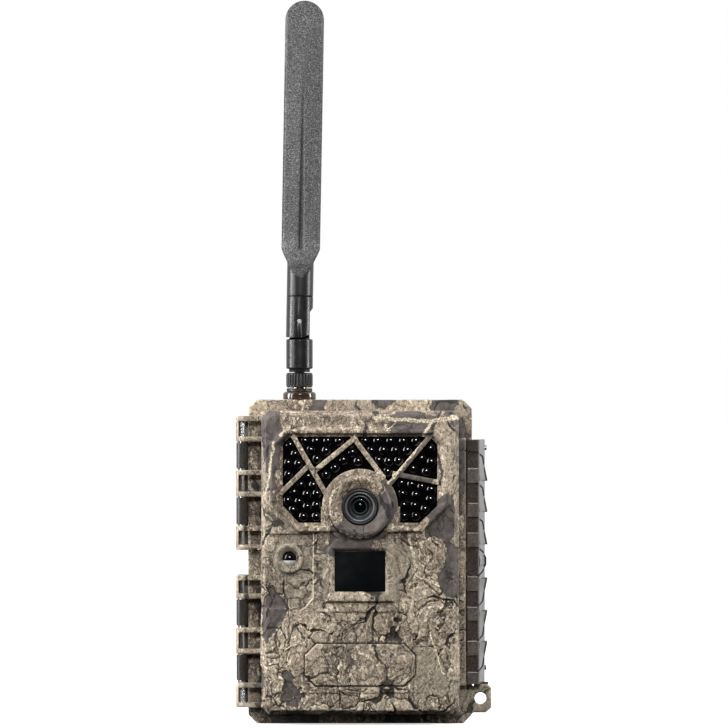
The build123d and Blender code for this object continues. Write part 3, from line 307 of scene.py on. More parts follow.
def bark_field(tree, point):
    """Sockets that describe the bark at a point: cracks, flaking layers, smooth patches and grain."""
    def noise_at(offset, scale, detail):
        return tree.noise(tree.vector("ADD", point, offset), scale, detail)

    def bent(coarse, small):
        moved = tree.vector("ADD", point, tree.vector("SCALE", warp, scale=coarse))
        return tree.vector("ADD", moved, tree.vector("SCALE", fine, scale=small))

    def stretched(where, along):
        return tree.vector("MULTIPLY", where, (1.0, 1.0, along))

    warp = tree.vector("SUBTRACT", tree.noise(point, 0.05, 2.0, output="Color"), (0.5, 0.5, 0.5))
    fine = tree.vector("SUBTRACT", tree.noise(point, 0.4, 3.0, output="Color"), (0.5, 0.5, 0.5))
    moved = bent(20.0, 2.6)
    tall = stretched(moved, 0.6)
    opening = tree.step(tree.noise(point, 0.06, 2.0), 0.46, 0.64, 0.000, 0.036)
    gap = tree.minus(tree.voronoi(tall, 0.052, "DISTANCE_TO_EDGE"), opening)
    alive = tree.step(noise_at((70.0, 0.0, 20.0), 0.05, 2.0), 0.38, 0.46)
    cracks = tree.times(tree.step(gap, -0.004, 0.009, 1.0, 0.0), alive)
    side_edge = tree.voronoi(tree.vector("ADD", tall, (40.0, 0.0, 17.0)), 0.13, "DISTANCE_TO_EDGE")
    keep = tree.step(noise_at((9.0, 0.0, 0.0), 0.08, 1.0), 0.50, 0.58)
    side_cracks = tree.times(tree.step(side_edge, 0.010, 0.045, 1.0, 0.0), keep)
    flakes = tree.noise(stretched(moved, 0.55), 0.115, 4.0, 0.58)
    layer = tree.step(flakes, LAYERS[0] - 0.003, LAYERS[0] + 0.003)
    for value in LAYERS[1:]:
        layer = tree.plus(layer, tree.step(flakes, value - 0.003, value + 0.003))
    slabs = stretched(bent(16.0, 3.4), 0.55)
    pick = tree.voronoi(slabs, 0.075, "F1", "Color")
    shard = component(tree, pick, 0)
    slab_edge = tree.voronoi(slabs, 0.075, "DISTANCE_TO_EDGE")
    hair = tree.noise(stretched(moved, 0.25), 0.36, 3.0, 0.6)
    return {
        "cracks": tree.larger(cracks, tree.times(side_cracks, 0.75)),
        "layer": tree.math("DIVIDE", layer, float(len(LAYERS))),
        # painted shadow just below the edge of each bark layer, and painted highlight just above it
        "layer_edge_shadow": tree.larger(*(tree.near(flakes, value - 0.006, 0.002, 0.007) for value in LAYERS)),
        "lip": tree.larger(*(tree.near(flakes, value + 0.011, 0.002, 0.009) for value in LAYERS)),
        "patch": tree.step(shard, 0.805, 0.806),
        "plate": component(tree, pick, 1),
        "seam": tree.step(slab_edge, 0.006, 0.022, 1.0, 0.0),
        "hair": tree.near(hair, 0.5, 0.003, 0.012),
        # painted highlight: a pale line along one side of each dark hairline crack
        "ridge": tree.near(hair, 0.522, 0.004, 0.014),
        "plain": tree.step(shard, 0.085, 0.084),
        "grain": tree.noise(stretched(moved, 0.5), 0.75, 5.0, 0.62),
        "twigs": twig_mask(tree, point),
    }


def bark_print():
    """Printed bark: taupe with cream flecks, dark cracks, smooth charcoal patches, pale twigs."""
    material, tree, shader = new_material("bark_print")
    point = rest_point(tree)
    bark = bark_field(tree, point)
    tone = tree.noise(point, 0.22, 4.0, 0.65)
    stroke = tree.vector("MULTIPLY", point, (1.0, 1.0, 0.6))
    fleck = tree.noise(tree.vector("ADD", stroke, (11.0, 0.0, 5.0)), 0.62, 5.0, 0.78)
    lively = tree.noise(tree.vector("ADD", point, (2.0, 0.0, 44.0)), 0.045, 2.0)
    lively = tree.step(lively, 0.38, 0.62, 0.45, 1.0)
    pits = tree.noise(tree.vector("ADD", point, (31.0, 7.0, 13.0)), 0.75, 5.0, 0.78)
    plain = tree.mix(tree.step(pits, 0.40, 0.60), (146, 136, 120), (118, 108, 94))
    charcoal = tree.mix(tree.step(tree.noise(point, 0.5, 4.0), 0.3, 0.7), (66, 60, 57), (92, 84, 79))
    painted_edge_light = tree.node("ShaderNodeNewGeometry").outputs["Pointiness"]
    twig = tree.mix(tree.step(tree.noise(point, 1.3, 3.0, 0.7), 0.42, 0.58), (128, 114, 93), (224, 211, 184))
    unprinted = tree.larger(inside_box(tree, point, COVER_HOLLOW, 0.2), inside_box(tree, point, HOUSING_HOLLOW, 0.2))
    resin = tree.mix(tree.step(tone, 0.35, 0.65), (44, 41, 37), (54, 50, 45))
    body = tree.ramp(tone, [
        (0.30, (66, 57, 50)), (0.43, (94, 82, 71)), (0.54, (120, 106, 93)), (0.70, (150, 134, 117))])
    for mask, share, colour in (
            (tree.step(bark["plate"], 0.30, 0.34, 0.35, 0.0), None, (86, 74, 63)),
            (tree.step(bark["plate"], 0.66, 0.70, 0.0, 0.42), None, (196, 180, 156)),
            (bark["layer"], 0.30, (178, 162, 140)),
            (tree.step(fleck, 0.535, 0.585), lively, (230, 216, 191)),
            (tree.step(pits, 0.50, 0.60, 0.0, 0.9), None, (50, 43, 36)),
            (bark["plain"], 0.85, plain),
            # painted highlight beside the hairline cracks
            (bark["ridge"], 0.40, (214, 198, 173)),
            (bark["hair"], 0.65, (46, 40, 34)),
            # painted highlight along the upper side of each bark layer's edge
            (bark["lip"], 0.42, (205, 188, 162)),
            # painted shadow along the lower side of each bark layer's edge
            (bark["layer_edge_shadow"], 0.55, (48, 41, 35)),
            (bark["patch"], None, charcoal),
            (bark["seam"], 0.7, (40, 34, 29)),
            (bark["cracks"], 0.92, (20, 17, 15)),
            # painted highlight on convex edges
            (tree.step(painted_edge_light, 0.52, 0.58, 0.0, 0.55), None, (216, 202, 178)),
            # painted shade in concave creases
            (tree.step(painted_edge_light, 0.485, 0.43, 0.0, 0.7), None, (30, 26, 22)),
            (bark["twigs"], 0.9, twig),
            # painted shade: the narrow groove round the badge plate is darkened
            (badge_line(tree, point), 0.75, (40, 35, 31)),
            # painted highlight along the edge of the sunken field
            (field_edge_highlight(tree, point), 0.6, (206, 194, 174)),
            (unprinted, None, resin)):
        body = tree.mix(mask if share is None else tree.times(mask, share), body, colour)
    rough = tree.step(tree.noise(point, 0.9, 3.0), 0.3, 0.7, 0.44, 0.66)
    tree.fill(shader, {"Base Color": body, "Roughness": rough, "Specular IOR Level": 0.4})
    height = tree.plus(tree.times(bark["grain"], 0.9), tree.times(fleck, 0.7))
    height = tree.minus(height, tree.times(bark["cracks"], 0.7))
    height = tree.minus(height, tree.times(bark["hair"], 0.3))
    rough_moulded = inside_box(tree, point, ROUGH_MOULDED, 1.5)
    share = tree.plus(0.22, tree.times(rough_moulded, 0.78))
    share = tree.times(share, outside(tree, tree.times(unprinted, 0.85)))
    bump(tree, shader, tree.times(height, share), 0.40, 0.9)
    return material


def relief_group(name, lift, sink, masks):
    """Geometry nodes that store the rest position and shape the surface as moulded bark.

    lift is the height of the relief in millimetres, sink the share of it that lies below the CAD
    surface, and masks a function of (tree, point in mm) that gives how much relief there is."""
    group = bpy.data.node_groups.new(name, "GeometryNodeTree")
    group.interface.new_socket("Geometry", in_out="INPUT", socket_type="NodeSocketGeometry")
    group.interface.new_socket("Geometry", in_out="OUTPUT", socket_type="NodeSocketGeometry")
    tree = Tree(group)
    start = tree.node("NodeGroupInput")
    end = tree.node("NodeGroupOutput")
    position = tree.node("GeometryNodeInputPosition").outputs[0]
    values = {"Geometry": start.outputs[0], "Name": "rest", "Value": position}
    store = tree.node("GeometryNodeStoreNamedAttribute", values, data_type="FLOAT_VECTOR", domain="POINT")
    point = in_mm(tree, position)
    bark = bark_field(tree, point)
    height = tree.times(tree.plus(bark["layer"], tree.times(bark["plate"], 0.35)), 0.8)
    height = tree.minus(height, tree.times(bark["seam"], 0.25))
    height = tree.plus(height, tree.times(tree.minus(bark["grain"], 0.5), 0.9))
    height = tree.minus(height, tree.times(bark["cracks"], 0.8))
    height = tree.times(height, outside(tree, tree.times(bark["patch"], 0.7)))
    height = tree.plus(height, tree.times(bark["twigs"], 0.35))
    height = tree.minus(height, sink)
    if sink >= 1.0:
        height = tree.math("MINIMUM", height, 0.0)
    height = tree.times(height, masks(tree, point))
    height = tree.minus(height, tree.times(badge_line(tree, point), 0.55))
    normal = tree.node("GeometryNodeInputNormal").outputs[0]
    offset = tree.vector("SCALE", normal, scale=tree.times(height, lift * MM))
    move = tree.node("GeometryNodeSetPosition", {"Geometry": store.outputs[0], "Offset": offset})
    tree.feed(end.inputs[0], move.outputs[0])
    return group


# ---------------- other materials
def tinted(colour, factor):
    """A colour made darker or lighter."""
    return (*[min(1.0, c * factor) for c in rgba(colour)[:3]], 1.0)


def plastic(name, colour, rough=0.5, spread=0.18, grain=1.8, depth=0.03, fleck=None, specular=0.45):
    """Moulded plastic: cloudy tone, fine moulded grain, uneven gloss and, if given, paler flecks."""
    material, tree, shader = new_material(name)
    point = object_point(tree)
    cloud = tree.noise(point, 0.13, 4.0, 0.6)
    fine = tree.noise(point, grain, 4.0, 0.65)
    body = tree.mix(tree.step(cloud, 0.32, 0.68), tinted(colour, 1 - spread), tinted(colour, 1 + spread))
    body = tree.mix(tree.step(fine, 0.42, 0.62, 0.0, 0.30), body, tinted(colour, 1.6))
    if fleck is not None:
        dots = tree.noise(tree.vector("ADD", point, (9.0, 3.0, 5.0)), grain * 1.1, 3.0, 0.75)
        body = tree.mix(tree.step(dots, 0.52, 0.62, 0.0, 0.85), body, rgba(fleck))
        body = tree.mix(tree.step(dots, 0.47, 0.36, 0.0, 0.8), body, tinted(colour, 0.45))
    smudge = tree.step(tree.noise(point, 0.22, 5.0, 0.6), 0.3, 0.7, rough * 0.82, min(1.0, rough * 1.18))
    tree.fill(shader, {"Base Color": body, "Roughness": smudge, "Specular IOR Level": specular})
    bump(tree, shader, fine, depth)
    return material


def metal(name, colour, rough=0.3, along=(1.0, 1.0, 1.0), grain=2.0, tarnish=0.35, depth=0.012):
    """Turned, drawn or pressed metal: fine lines along one way, uneven gloss and a little tarnish."""
    material, tree, shader = new_material(name)
    point = object_point(tree)
    lines = tree.noise(tree.vector("MULTIPLY", point, along), grain, 5.0, 0.7)
    stain = tree.noise(point, 0.35, 5.0, 0.65)
    body = tree.mix(tree.step(lines, 0.35, 0.65), tinted(colour, 0.82), tinted(colour, 1.12))
    body = tree.mix(tree.step(stain, 0.50, 0.72, 0.0, tarnish), body, tinted(colour, 0.35))
    gloss = tree.step(lines, 0.3, 0.7, rough * 0.7, min(1.0, rough * 1.35))
    tree.fill(shader, {"Base Color": body, "Metallic": 1.0, "Roughness": gloss})
    bump(tree, shader, lines, depth)
    return material


def glass(name, colour, rough, index, alpha, tint=(255, 255, 255)):
    """Coated glass or clear epoxy, thin enough to be drawn as a see-through gloss."""
    material, tree, shader = new_material(name)
    dust = tree.noise(object_point(tree), 1.4, 5.0, 0.7)
    body = tree.mix(tree.step(dust, 0.4, 0.7), colour, tinted(colour, 1.5))
    gloss = tree.step(dust, 0.45, 0.75, rough, rough + 0.05)
    tree.fill(shader, {"Base Color": body, "Roughness": gloss, "IOR": index, "Specular Tint": tint, "Alpha": alpha})
    return material


def circuit_board():
    """Green solder mask over copper tracks, with tinned pads and small vias."""
    material, tree, shader = new_material("circuit_board")
    point = object_point(tree)
    flat = tree.node("ShaderNodeCombineXYZ", {0: component(tree, point, 0), 1: component(tree, point, 2)})
    runs = []
    for scale, width, turn in ((0.16, 0.020, 0.0), (0.27, 0.030, 0.785)):
        around = tree.node("ShaderNodeVectorRotate", {"Vector": flat.outputs[0], "Angle": turn})
        values = {"Vector": around.outputs[0], "Scale": scale, "Mortar Size": width}
        runs.append(tree.node("ShaderNodeTexBrick", values).outputs["Fac"])
    tracks = tree.times(tree.larger(*runs), tree.step(tree.noise(point, 0.08, 1.0), 0.42, 0.46))
    vias = tree.step(tree.voronoi(point, 0.34), 0.10, 0.13, 1.0, 0.0)
    mask = tree.mix(tree.step(tree.noise(point, 0.2), 0.3, 0.7), (14, 62, 38), (20, 78, 48))
    body = tree.mix(tree.times(tracks, 0.8), mask, (48, 122, 74))
    body = tree.mix(vias, body, (196, 190, 176))
    rough = tree.step(tree.noise(point, 1.2), 0.3, 0.7, 0.28, 0.42)
    tree.fill(shader, {"Base Color": body, "Roughness": rough})
    bump(tree, shader, tree.plus(tracks, vias), 0.05)
    return material


def display_glass():
    """Switched-off colour screen: nearly black glass over a faintly ribbed panel."""
    material, tree, shader = new_material("display_glass")
    point = object_point(tree)
    rows = tree.math("SINE", tree.times(component(tree, point, 2), 14.0))
    cloud = tree.noise(point, 0.08, 2.0)
    border = inside_box(tree, point, ((-18.6, -30.0, 88.4), (18.6, -20.0, 115.8)), 0.1)
    panel = tree.mix(tree.step(cloud, 0.3, 0.7), (20, 24, 28), (34, 39, 44))
    panel = tree.mix(tree.step(rows, 0.2, 0.9, 0.0, 0.25), panel, (12, 14, 17))
    gloss = tree.step(tree.noise(point, 0.5, 4.0), 0.4, 0.7, 0.06, 0.16)
    tree.fill(shader, {"Base Color": tree.mix(border, (8, 8, 9), panel), "Roughness": gloss})
    return material


def sensor_eye():
    """Light-sensor dome: glossy black above, with its lower part coloured near-white as a painted reflection."""
    material, tree, shader = new_material("sensor_eye")
    point = object_point(tree)
    height = tree.minus(component(tree, point, 2), middle_of("light_sensor_lens").z / MM)
    # painted reflection: the lower part of the dome is coloured near-white
    painted_reflection_below = tree.step(height, -1.0, -0.7, 1.0, 0.0)
    speck = tree.noise(point, 2.0, 3.0)
    black = tree.mix(tree.step(speck, 0.3, 0.7), (5, 5, 6), (14, 14, 15))
    white = tree.mix(tree.step(speck, 0.3, 0.7), (222, 222, 220), (244, 244, 242))
    gloss = tree.step(speck, 0.3, 0.7, 0.04, 0.10)
    tree.fill(shader, {"Base Color": tree.mix(painted_reflection_below, black, white), "Roughness": gloss})
    return material


def antenna_skin():
    """Antenna plastic: fine pale speckle of a spark-eroded mould, plain satin black on the shank."""
    material, tree, shader = new_material("antenna_skin")
    point = object_point(tree)
    cells = tree.noise(point, 2.3, 3.0, 0.8)
    tone = tree.noise(point, 0.06, 3.0)
    body = tree.mix(tree.step(tone, 0.3, 0.7), (54, 54, 55), (64, 64, 65))
    body = tree.mix(tree.step(cells, 0.53, 0.60, 0.0, 0.9), body, (136, 136, 137))
    body = tree.mix(tree.step(cells, 0.47, 0.40, 0.0, 0.9), body, (16, 16, 17))
    crease = tree.node("ShaderNodeAttribute", attribute_name="crease").outputs["Fac"]
    # painted shade: the groove along the blade is darkened
    body = tree.mix(tree.times(crease, 0.75), body, (14, 14, 15))
    shield = tree.node("ShaderNodeAttribute", attribute_name="shield").outputs["Fac"]
    shield = tree.step(shield, 0.3, 0.7)
    shank = tree.mix(tree.step(tone, 0.3, 0.7), (20, 20, 22), (30, 30, 32))
    gloss = tree.step(cells, 0.35, 0.65, 0.62, 0.42)
    rough = tree.node("ShaderNodeMix", {0: shield, 2: 0.34, 3: gloss}, data_type="FLOAT").outputs[0]
    tree.fill(shader, {
        "Base Color": tree.mix(shield, shank, body), "Roughness": rough, "Specular IOR Level": 0.5})
    bump(tree, shader, tree.times(cells, shield), 0.10)
    return material


ALONG_X = (0.06, 1.0, 1.0)
ALONG_Z = (1.0, 1.0, 0.06)
SLOTS = (
    # slot, kind, colour, roughness, other values
    ("hinge_plastic", plastic, (34, 31, 29), 0.36, dict(grain=1.3, fleck=(62, 57, 52))),
    ("latch_plastic", plastic, (46, 39, 33), 0.22, dict(grain=1.5, depth=0.012, fleck=(74, 67, 59), specular=1.0)),
    ("pin_steel", metal, (206, 208, 210), 0.26, ALONG_Z, dict(tarnish=0.15)),
    ("screw_steel", metal, (150, 150, 150), 0.32, dict(grain=3.0)),
    ("contact_nickel", metal, (214, 209, 198), 0.22, ALONG_X, dict(tarnish=0.15)),
    ("brass", metal, (214, 176, 102), 0.30, ALONG_Z, {}),
    ("jack_metal", metal, (206, 178, 120), 0.24, ALONG_Z, dict(tarnish=0.2)),
    ("collar_metal", plastic, (44, 31, 24), 0.14, dict(grain=0.8, depth=0.01, specular=0.8)),
    ("tray_plastic", plastic, (34, 34, 35), 0.48, dict(depth=0.04)),
    ("cell_jacket", plastic, (38, 58, 72), 0.26, dict(spread=0.06, depth=0.004)),
    ("chip_black", plastic, (28, 28, 30), 0.55, dict(grain=4.0, depth=0.02)),
    ("shield_can", metal, (186, 188, 190), 0.34, ALONG_X, dict(tarnish=0.2)),
    ("connector_metal", metal, (178, 180, 182), 0.28, ALONG_X, {}),
    ("lens_black", plastic, (20, 20, 21), 0.34, dict(grain=2.5, depth=0.008, specular=0.5)),
    ("lens_glass", glass, (2, 3, 4), 0.03, 1.6, 0.36, (96, 240, 214), {}),
    ("filter_glass", glass, (96, 40, 44), 0.03, 1.5, 0.55, {}),
    ("panel_black", plastic, (4, 4, 5), 0.20, dict(grain=2.2, depth=0.001, specular=0.05)),
    ("led_epoxy", plastic, (4, 3, 5), 0.09, dict(grain=3.0, depth=0.0, specular=0.8)),
    ("window_black", plastic, (9, 10, 12), 0.22, dict(grain=3.2, depth=0.001, specular=0.08)),
    ("sensor_can", metal, (190, 186, 176), 0.28, {}),
    ("inner_panel", plastic, (46, 45, 44), 0.55, dict(grain=2.4, depth=0.05)),
    ("key_rubber", plastic, (72, 72, 74), 0.62, dict(grain=2.6, depth=0.03)),
    ("seal_rubber", plastic, (24, 24, 24), 0.72, dict(grain=2.0, depth=0.03, specular=0.3)),
    ("card_plastic", plastic, (30, 40, 66), 0.36, dict(spread=0.08, grain=2.5, depth=0.01)),
    ("antenna_barrel", plastic, (20, 20, 22), 0.30, dict(spread=0.25, grain=1.4, depth=0.02)),
    ("antenna_nut", plastic, (12, 13, 12), 0.45, dict(grain=1.6, depth=0.02)),
)


def make_materials():
    """One material for each of the record's slots."""
    made = {name: kind(name, *values, **others) for name, kind, *values, others in SLOTS}
    made["circuit_board"] = circuit_board()
    made["eye_clear"] = sensor_eye()
    made["screen"] = display_glass()
    made["antenna_blade"] = antenna_skin()
    return made


# ---------------- making pieces
def modified(obj, kind, **values):
    """obj with its mesh changed by one modifier."""
    modifier = obj.modifiers.new(kind.lower(), kind)
    for name, value in values.items():
        setattr(modifier, name, value)
    bpy.context.view_layer.update()
    evaluated = obj.evaluated_get(bpy.context.evaluated_depsgraph_get())
    mesh = bpy.data.meshes.new_from_object(evaluated)
    old = obj.data
    obj.modifiers.clear()
    obj.data = mesh
    bpy.data.meshes.remove(old)
    return obj


def link(obj):
    bpy.context.scene.collection.objects.link(obj)
    return obj


def welded_mesh(node, whole=False):
    """A CAD node's mesh with its split vertices joined and, if asked, its flat areas made whole."""
    mesh = NODES[node].data.copy()
    mesh.materials.clear()
    work = bmesh.new()
    work.from_mesh(mesh)
    bmesh.ops.remove_doubles(work, verts=work.verts, dist=WELD)
    if whole:
        bmesh.ops.dissolve_limit(work, angle_limit=math.radians(1.0), verts=work.verts, edges=work.edges)
    work.to_mesh(mesh)
    work.free()
    return mesh


def welded_copy(node, name):
    """An object with a CAD node's shape, ready to be worked on."""
    mesh = welded_mesh(node, whole=True)
    for attribute in list(mesh.attributes):
        if attribute.name in ("custom_normal", "sharp_face", "sharp_edge"):
            mesh.attributes.remove(attribute)
    return link(bpy.data.objects.new(name, mesh))


def settle(obj, node, materials, smooth=180):
    """Gives a finished piece its materials and its body, and hides the CAD node that it stands for."""
    places = np.empty(len(obj.data.polygons), dtype=np.int32)
    obj.data.polygons.foreach_get("material_index", places)
    obj.data.materials.clear()
    for material in materials if isinstance(materials, list) else [materials]:
        obj.data.materials.append(material)
    obj.data.polygons.foreach_set("material_index", places)
    obj.data.shade_smooth()
    if smooth < 180:
        obj.data.set_sharp_from_angle(angle=math.radians(smooth))
    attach(obj, BODY_OF[node])
    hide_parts(node)
    return obj


def remeshed(node, name, voxel):
    """A fine, even mesh of a CAD node's shape."""
    return modified(welded_copy(node, name), "REMESH", mode="VOXEL", voxel_size=voxel * MM)


def thinned(obj, faces):
    """obj with at most that many triangles."""
    count = sum(len(p.vertices) - 2 for p in obj.data.polygons)
    return modified(obj, "DECIMATE", ratio=faces / count) if count > faces else obj


def kept_in_box(mesh, node):
    """Moves any point that lies outside the CAD node's box onto it."""
    low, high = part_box(node)
    co = np.empty(len(mesh.vertices) * 3, dtype=np.float32)
    mesh.vertices.foreach_get("co", co)
    co = np.clip(co.reshape(-1, 3), np.array(low), np.array(high))
    mesh.vertices.foreach_set("co", co.astype(np.float32).ravel())
    mesh.update()


def bark_shell(node, name, voxel, lift, sink, masks, faces):
    """A shell with moulded bark: remeshed finely, shaped by the bark field, then thinned."""
    relief = relief_group(name + "_relief", lift, sink, masks)
    obj = thinned(modified(remeshed(node, name, voxel), "NODES", node_group=relief), faces)
    kept_in_box(obj.data, node)
    return settle(obj, node, BARK)


def bevelled(node, name, width, material):
    """A CAD node's own shape with its edges softened."""
    obj = modified(
        welded_copy(node, name), "BEVEL", width=width * MM, segments=2, limit_method="ANGLE",
        angle_limit=math.radians(BEVEL_FROM), use_clamp_overlap=True)
    obj.data.shade_smooth()
    obj.data.set_sharp_from_angle(angle=math.radians(SHARP_FROM))
    modified(obj, "WEIGHTED_NORMAL", keep_sharp=True, weight=100)
    return settle(obj, node, material, smooth=SHARP_FROM)


def lathe(rings, centre, axis="Z", segments=48, wave=None, closed=False):
    """A turned solid: rings are (radius, distance along the axis), in millimetres from centre.

    wave(angle, distance) is added to the radius, and closed joins the last ring to the first.
    Returns points in metres and faces; the ring that a face starts on gives its row."""
    points = []
    for radius, distance in rings:
        for i in range(segments):
            angle = 2 * math.pi * i / segments
            r = radius + (wave(angle, distance) if wave and radius > 0 else 0.0)
            across = (r * math.cos(angle), r * math.sin(angle))
            local = (across[0], distance, across[1]) if axis == "Y" else (*across, distance)
            points.append(tuple(c + v * MM for c, v in zip(centre, local)))
    faces = []
    rows = len(rings) if closed else len(rings) - 1
    for row in range(rows):
        above = (row + 1) % len(rings)
        for i in range(segments):
            j = (i + 1) % segments
            faces.append((row * segments + i, row * segments + j, above * segments + j, above * segments + i))
    return points, faces


def built(name, solids, row_material=None, segments=48):
    """One object from several turned solids, with doubled points joined and normals outward."""
    work = bmesh.new()
    for points, faces in solids:
        made = [work.verts.new(p) for p in points]
        for number, face in enumerate(faces):
            new = work.faces.new([made[i] for i in face])
            if row_material:
                new.material_index = row_material[number // segments]
    bmesh.ops.remove_doubles(work, verts=work.verts, dist=0.001 * MM)
    bmesh.ops.dissolve_degenerate(work, edges=work.edges, dist=0.001 * MM)
    return finished(work, name)


def span(points, axis):
    """The lowest and highest coordinate of some points along an axis."""
    values = [p[axis] for p in points]
    return min(values), max(values)


def middle(points, axis):
    low, high = span(points, axis)
    return (low + high) / 2


def finished(work, name):
    """An object made from a bmesh, with its normals outward."""
    bmesh.ops.recalc_face_normals(work, faces=work.faces)
    mesh = bpy.data.meshes.new(name)
    work.to_mesh(mesh)
    work.free()
    return link(bpy.data.objects.new(name, mesh))


def middle_of(node):
    low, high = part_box(node)
    return (low + high) / 2


def islands(mesh):
    """The separate shells of a mesh, each as a list of its points."""
    parent = list(range(len(mesh.vertices)))

    def root(i):
        while parent[i] != i:
            parent[i] = parent[parent[i]]
            i = parent[i]
        return i

    for edge in mesh.edges:
        a, b = (root(i) for i in edge.vertices)
        parent[a] = b
    shells = {}
    for vertex in mesh.vertices:
        shells.setdefault(root(vertex.index), []).append(vertex.co.copy())
    return list(shells.values())


# ---------------- shells
def cover_mask(tree, point):
    """Relief on the cover: strong on the lower front and the sides, none where parts seat."""
    strength = tree.plus(
        inside_box(tree, point, COVER_FRONT, 1.5), tree.times(inside_box(tree, point, COVER_UPPER, 1.5), 0.03))
    strength = tree.plus(strength, tree.times(inside_box(tree, point, COVER_SIDES, 1.0), 0.4))
    for zone, keep in ((MOTION_WINDOW, 0.15), (SENSOR_RING, 0.0), (SENSOR_FIELD, 0.25), (BADGE_PLATE, 0.40)):
        spot = tree.times(inside_box(tree, point, zone, 0.8), 1.0 - keep)
        strength = tree.times(strength, outside(tree, spot))
    return tree.times(strength, outside(tree, inside_box(tree, point, COVER_INSIDE, 0.3)))


def housing_mask(tree, point):
    rim = tree.times(inside_box(tree, point, HOUSING_RIM, 0.5), 0.9)
    strength = outside(tree, tree.larger(inside_box(tree, point, HOUSING_INSIDE, 0.3), rim))
    return tree.times(strength, tree.step(component(tree, point, 2), 0.2, 1.5))


def bezel_mask(tree, point):
    return inside_box(tree, point, LENS_RING_FRONT, 0.3)


def shells():
    bark_shell("front_cover", "front_cover_bark", 0.28, 0.80, 0.45, cover_mask, 195000)
    bark_shell("rear_housing", "rear_housing_bark", 0.48, 0.40, 1.0, housing_mask, 190000)
    bark_shell("lens_bezel", "lens_ring_bark", 0.22, 0.16, 1.0, bezel_mask, 60000)


# ---------------- lens and LEDs
def lens():
    """Stepped black barrel with its thread rings, coated front element and the one behind it."""
    low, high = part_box("lens_barrel")
    axis = (low + high) / 2
    front = Vector((axis.x, low.y, axis.z))
    outer = (high.x - low.x) / 2 / MM
    length = (high.y - low.y) / MM
    rings = [
        (outer, length), (outer, 0.35), (outer - 0.12, 0.10), (outer - 0.40, 0.0), (6.90, 0.0), (6.72, 0.06),
        (6.62, 0.30), (6.60, 0.95), (6.42, 0.80), (6.15, 0.66), (5.85, 0.70), (5.62, 0.92), (5.56, 1.5),
        (5.20, 2.1), (4.80, 2.3), (4.62, 2.16), (4.42, 2.16), (4.26, 2.35), (4.12, 2.6), (4.12, 5.2),
        (3.45, 5.2), (3.34, 4.82), (3.08, 4.64), (2.80, 4.70), (2.62, 5.0), (2.56, 5.6), (2.56, length),
    ]
    segments = 128
    # painted highlight: these ring rows get a lighter grey than the black barrel
    highlight_ring_rows = (8, 9, 10, 11, 17, 18, 22, 23, 24)
    row_material = [1 if row in highlight_ring_rows else 0 for row in range(len(rings))]
    satin = plastic("lens_ring_painted_highlight", (96, 96, 100), 0.26, grain=2.5, depth=0.004)
    barrel = built("lens_barrel_turned", [lathe(rings, front, "Y", segments, closed=True)], row_material, segments)
    settle(barrel, "lens_barrel", [MATERIALS["lens_black"], satin], smooth=70)
    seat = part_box("lens_front_glass")[1].y
    radius = 4.10
    curve = 17.0
    depth = curve - math.sqrt(curve ** 2 - radius ** 2)
    dome = [(r, -depth + curve - math.sqrt(curve ** 2 - r ** 2)) for r in (radius * i / 12 for i in range(13))]
    dome += [(radius, 0.8), (radius - 0.3, 1.0), (0.0, 0.5)]
    element = built("lens_front_element", [lathe(dome, (axis.x, seat, axis.z), "Y", 96)])
    settle(element, "lens_front_glass", MATERIALS["lens_glass"], smooth=50)
    inner = [(0.0, 5.15), (0.9, 5.22), (1.7, 5.42), (2.3, 5.75), (2.52, 5.95), (2.52, 7.0), (0.0, 7.0)]
    second = built("lens_second_element", [lathe(inner, front, "Y", 64)])
    second.data.materials.append(MATERIALS["led_epoxy"])
    second.data.shade_smooth()
    second.data.set_sharp_from_angle(angle=math.radians(50))
    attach(second, BODY_OF["lens_barrel"])


def led_domes():
    """Every LED as a wide dome, where the CAD model has it."""
    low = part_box("infrared_leds")[0].y
    side = 2.0
    curve = 3.25
    rings = [(r, curve - math.sqrt(curve ** 2 - r ** 2)) for r in (side * i / 14 for i in range(14))]
    rings += [(side - 0.03, 0.66), (side, 0.76), (side, 1.85), (1.5, 1.85), (1.5, 4.6), (0.0, 4.6)]
    solids = [lathe(rings, (middle(shell, 0), low, middle(shell, 2)), "Y", 36)
              for shell in islands(welded_mesh("infrared_leds"))]
    settle(built("infrared_led_domes", solids), "infrared_leds", MATERIALS["led_epoxy"], smooth=60)


# ---------------- hinge, cells and antenna
def knurl(rows, pitch, depth):
    """Diamond knurling: two crossing sets of ridges round a rod."""
    def wave(angle, distance):
        one = math.cos(rows * angle + 2 * math.pi * distance / pitch)
        two = math.cos(rows * angle - 2 * math.pi * distance / pitch)
        return -depth * (1.0 - max(one, two))
    return wave


def hinge_pins():
    """Steel pins with a diamond-knurled length where they are pressed into the end knuckles."""
    pin = 1.2
    knurled = 1.5
    steps = 46
    solids = []
    for shell in islands(welded_mesh("hinge_pins")):
        low, high = span(shell, 2)
        foot = (middle(shell, 0), middle(shell, 1), low)
        length = (high - low) / MM
        top_end = high > middle_of("hinge_pins").z + 30 * MM
        start, end = (length - 8.8, length) if top_end else (0.0, 8.5)
        rings = [(0.0, 0.0), (pin - 0.15, 0.0), (pin, 0.15)]
        rings += [(r, length - d) for r, d in reversed(rings)]
        solids.append(lathe(rings, foot, "Z", 40))
        rings = [(0.0, start), (pin, start)]
        rings += [(knurled, start + 0.1 + (end - start - 0.2) * i / steps) for i in range(steps + 1)]
        rings += [(pin, end), (0.0, end)]
        solids.append(lathe(rings, foot, "Z", 72, knurl(9, 1.5, 0.11)))
    settle(built("hinge_pins_knurled", solids), "hinge_pins", MATERIALS["pin_steel"], smooth=40)


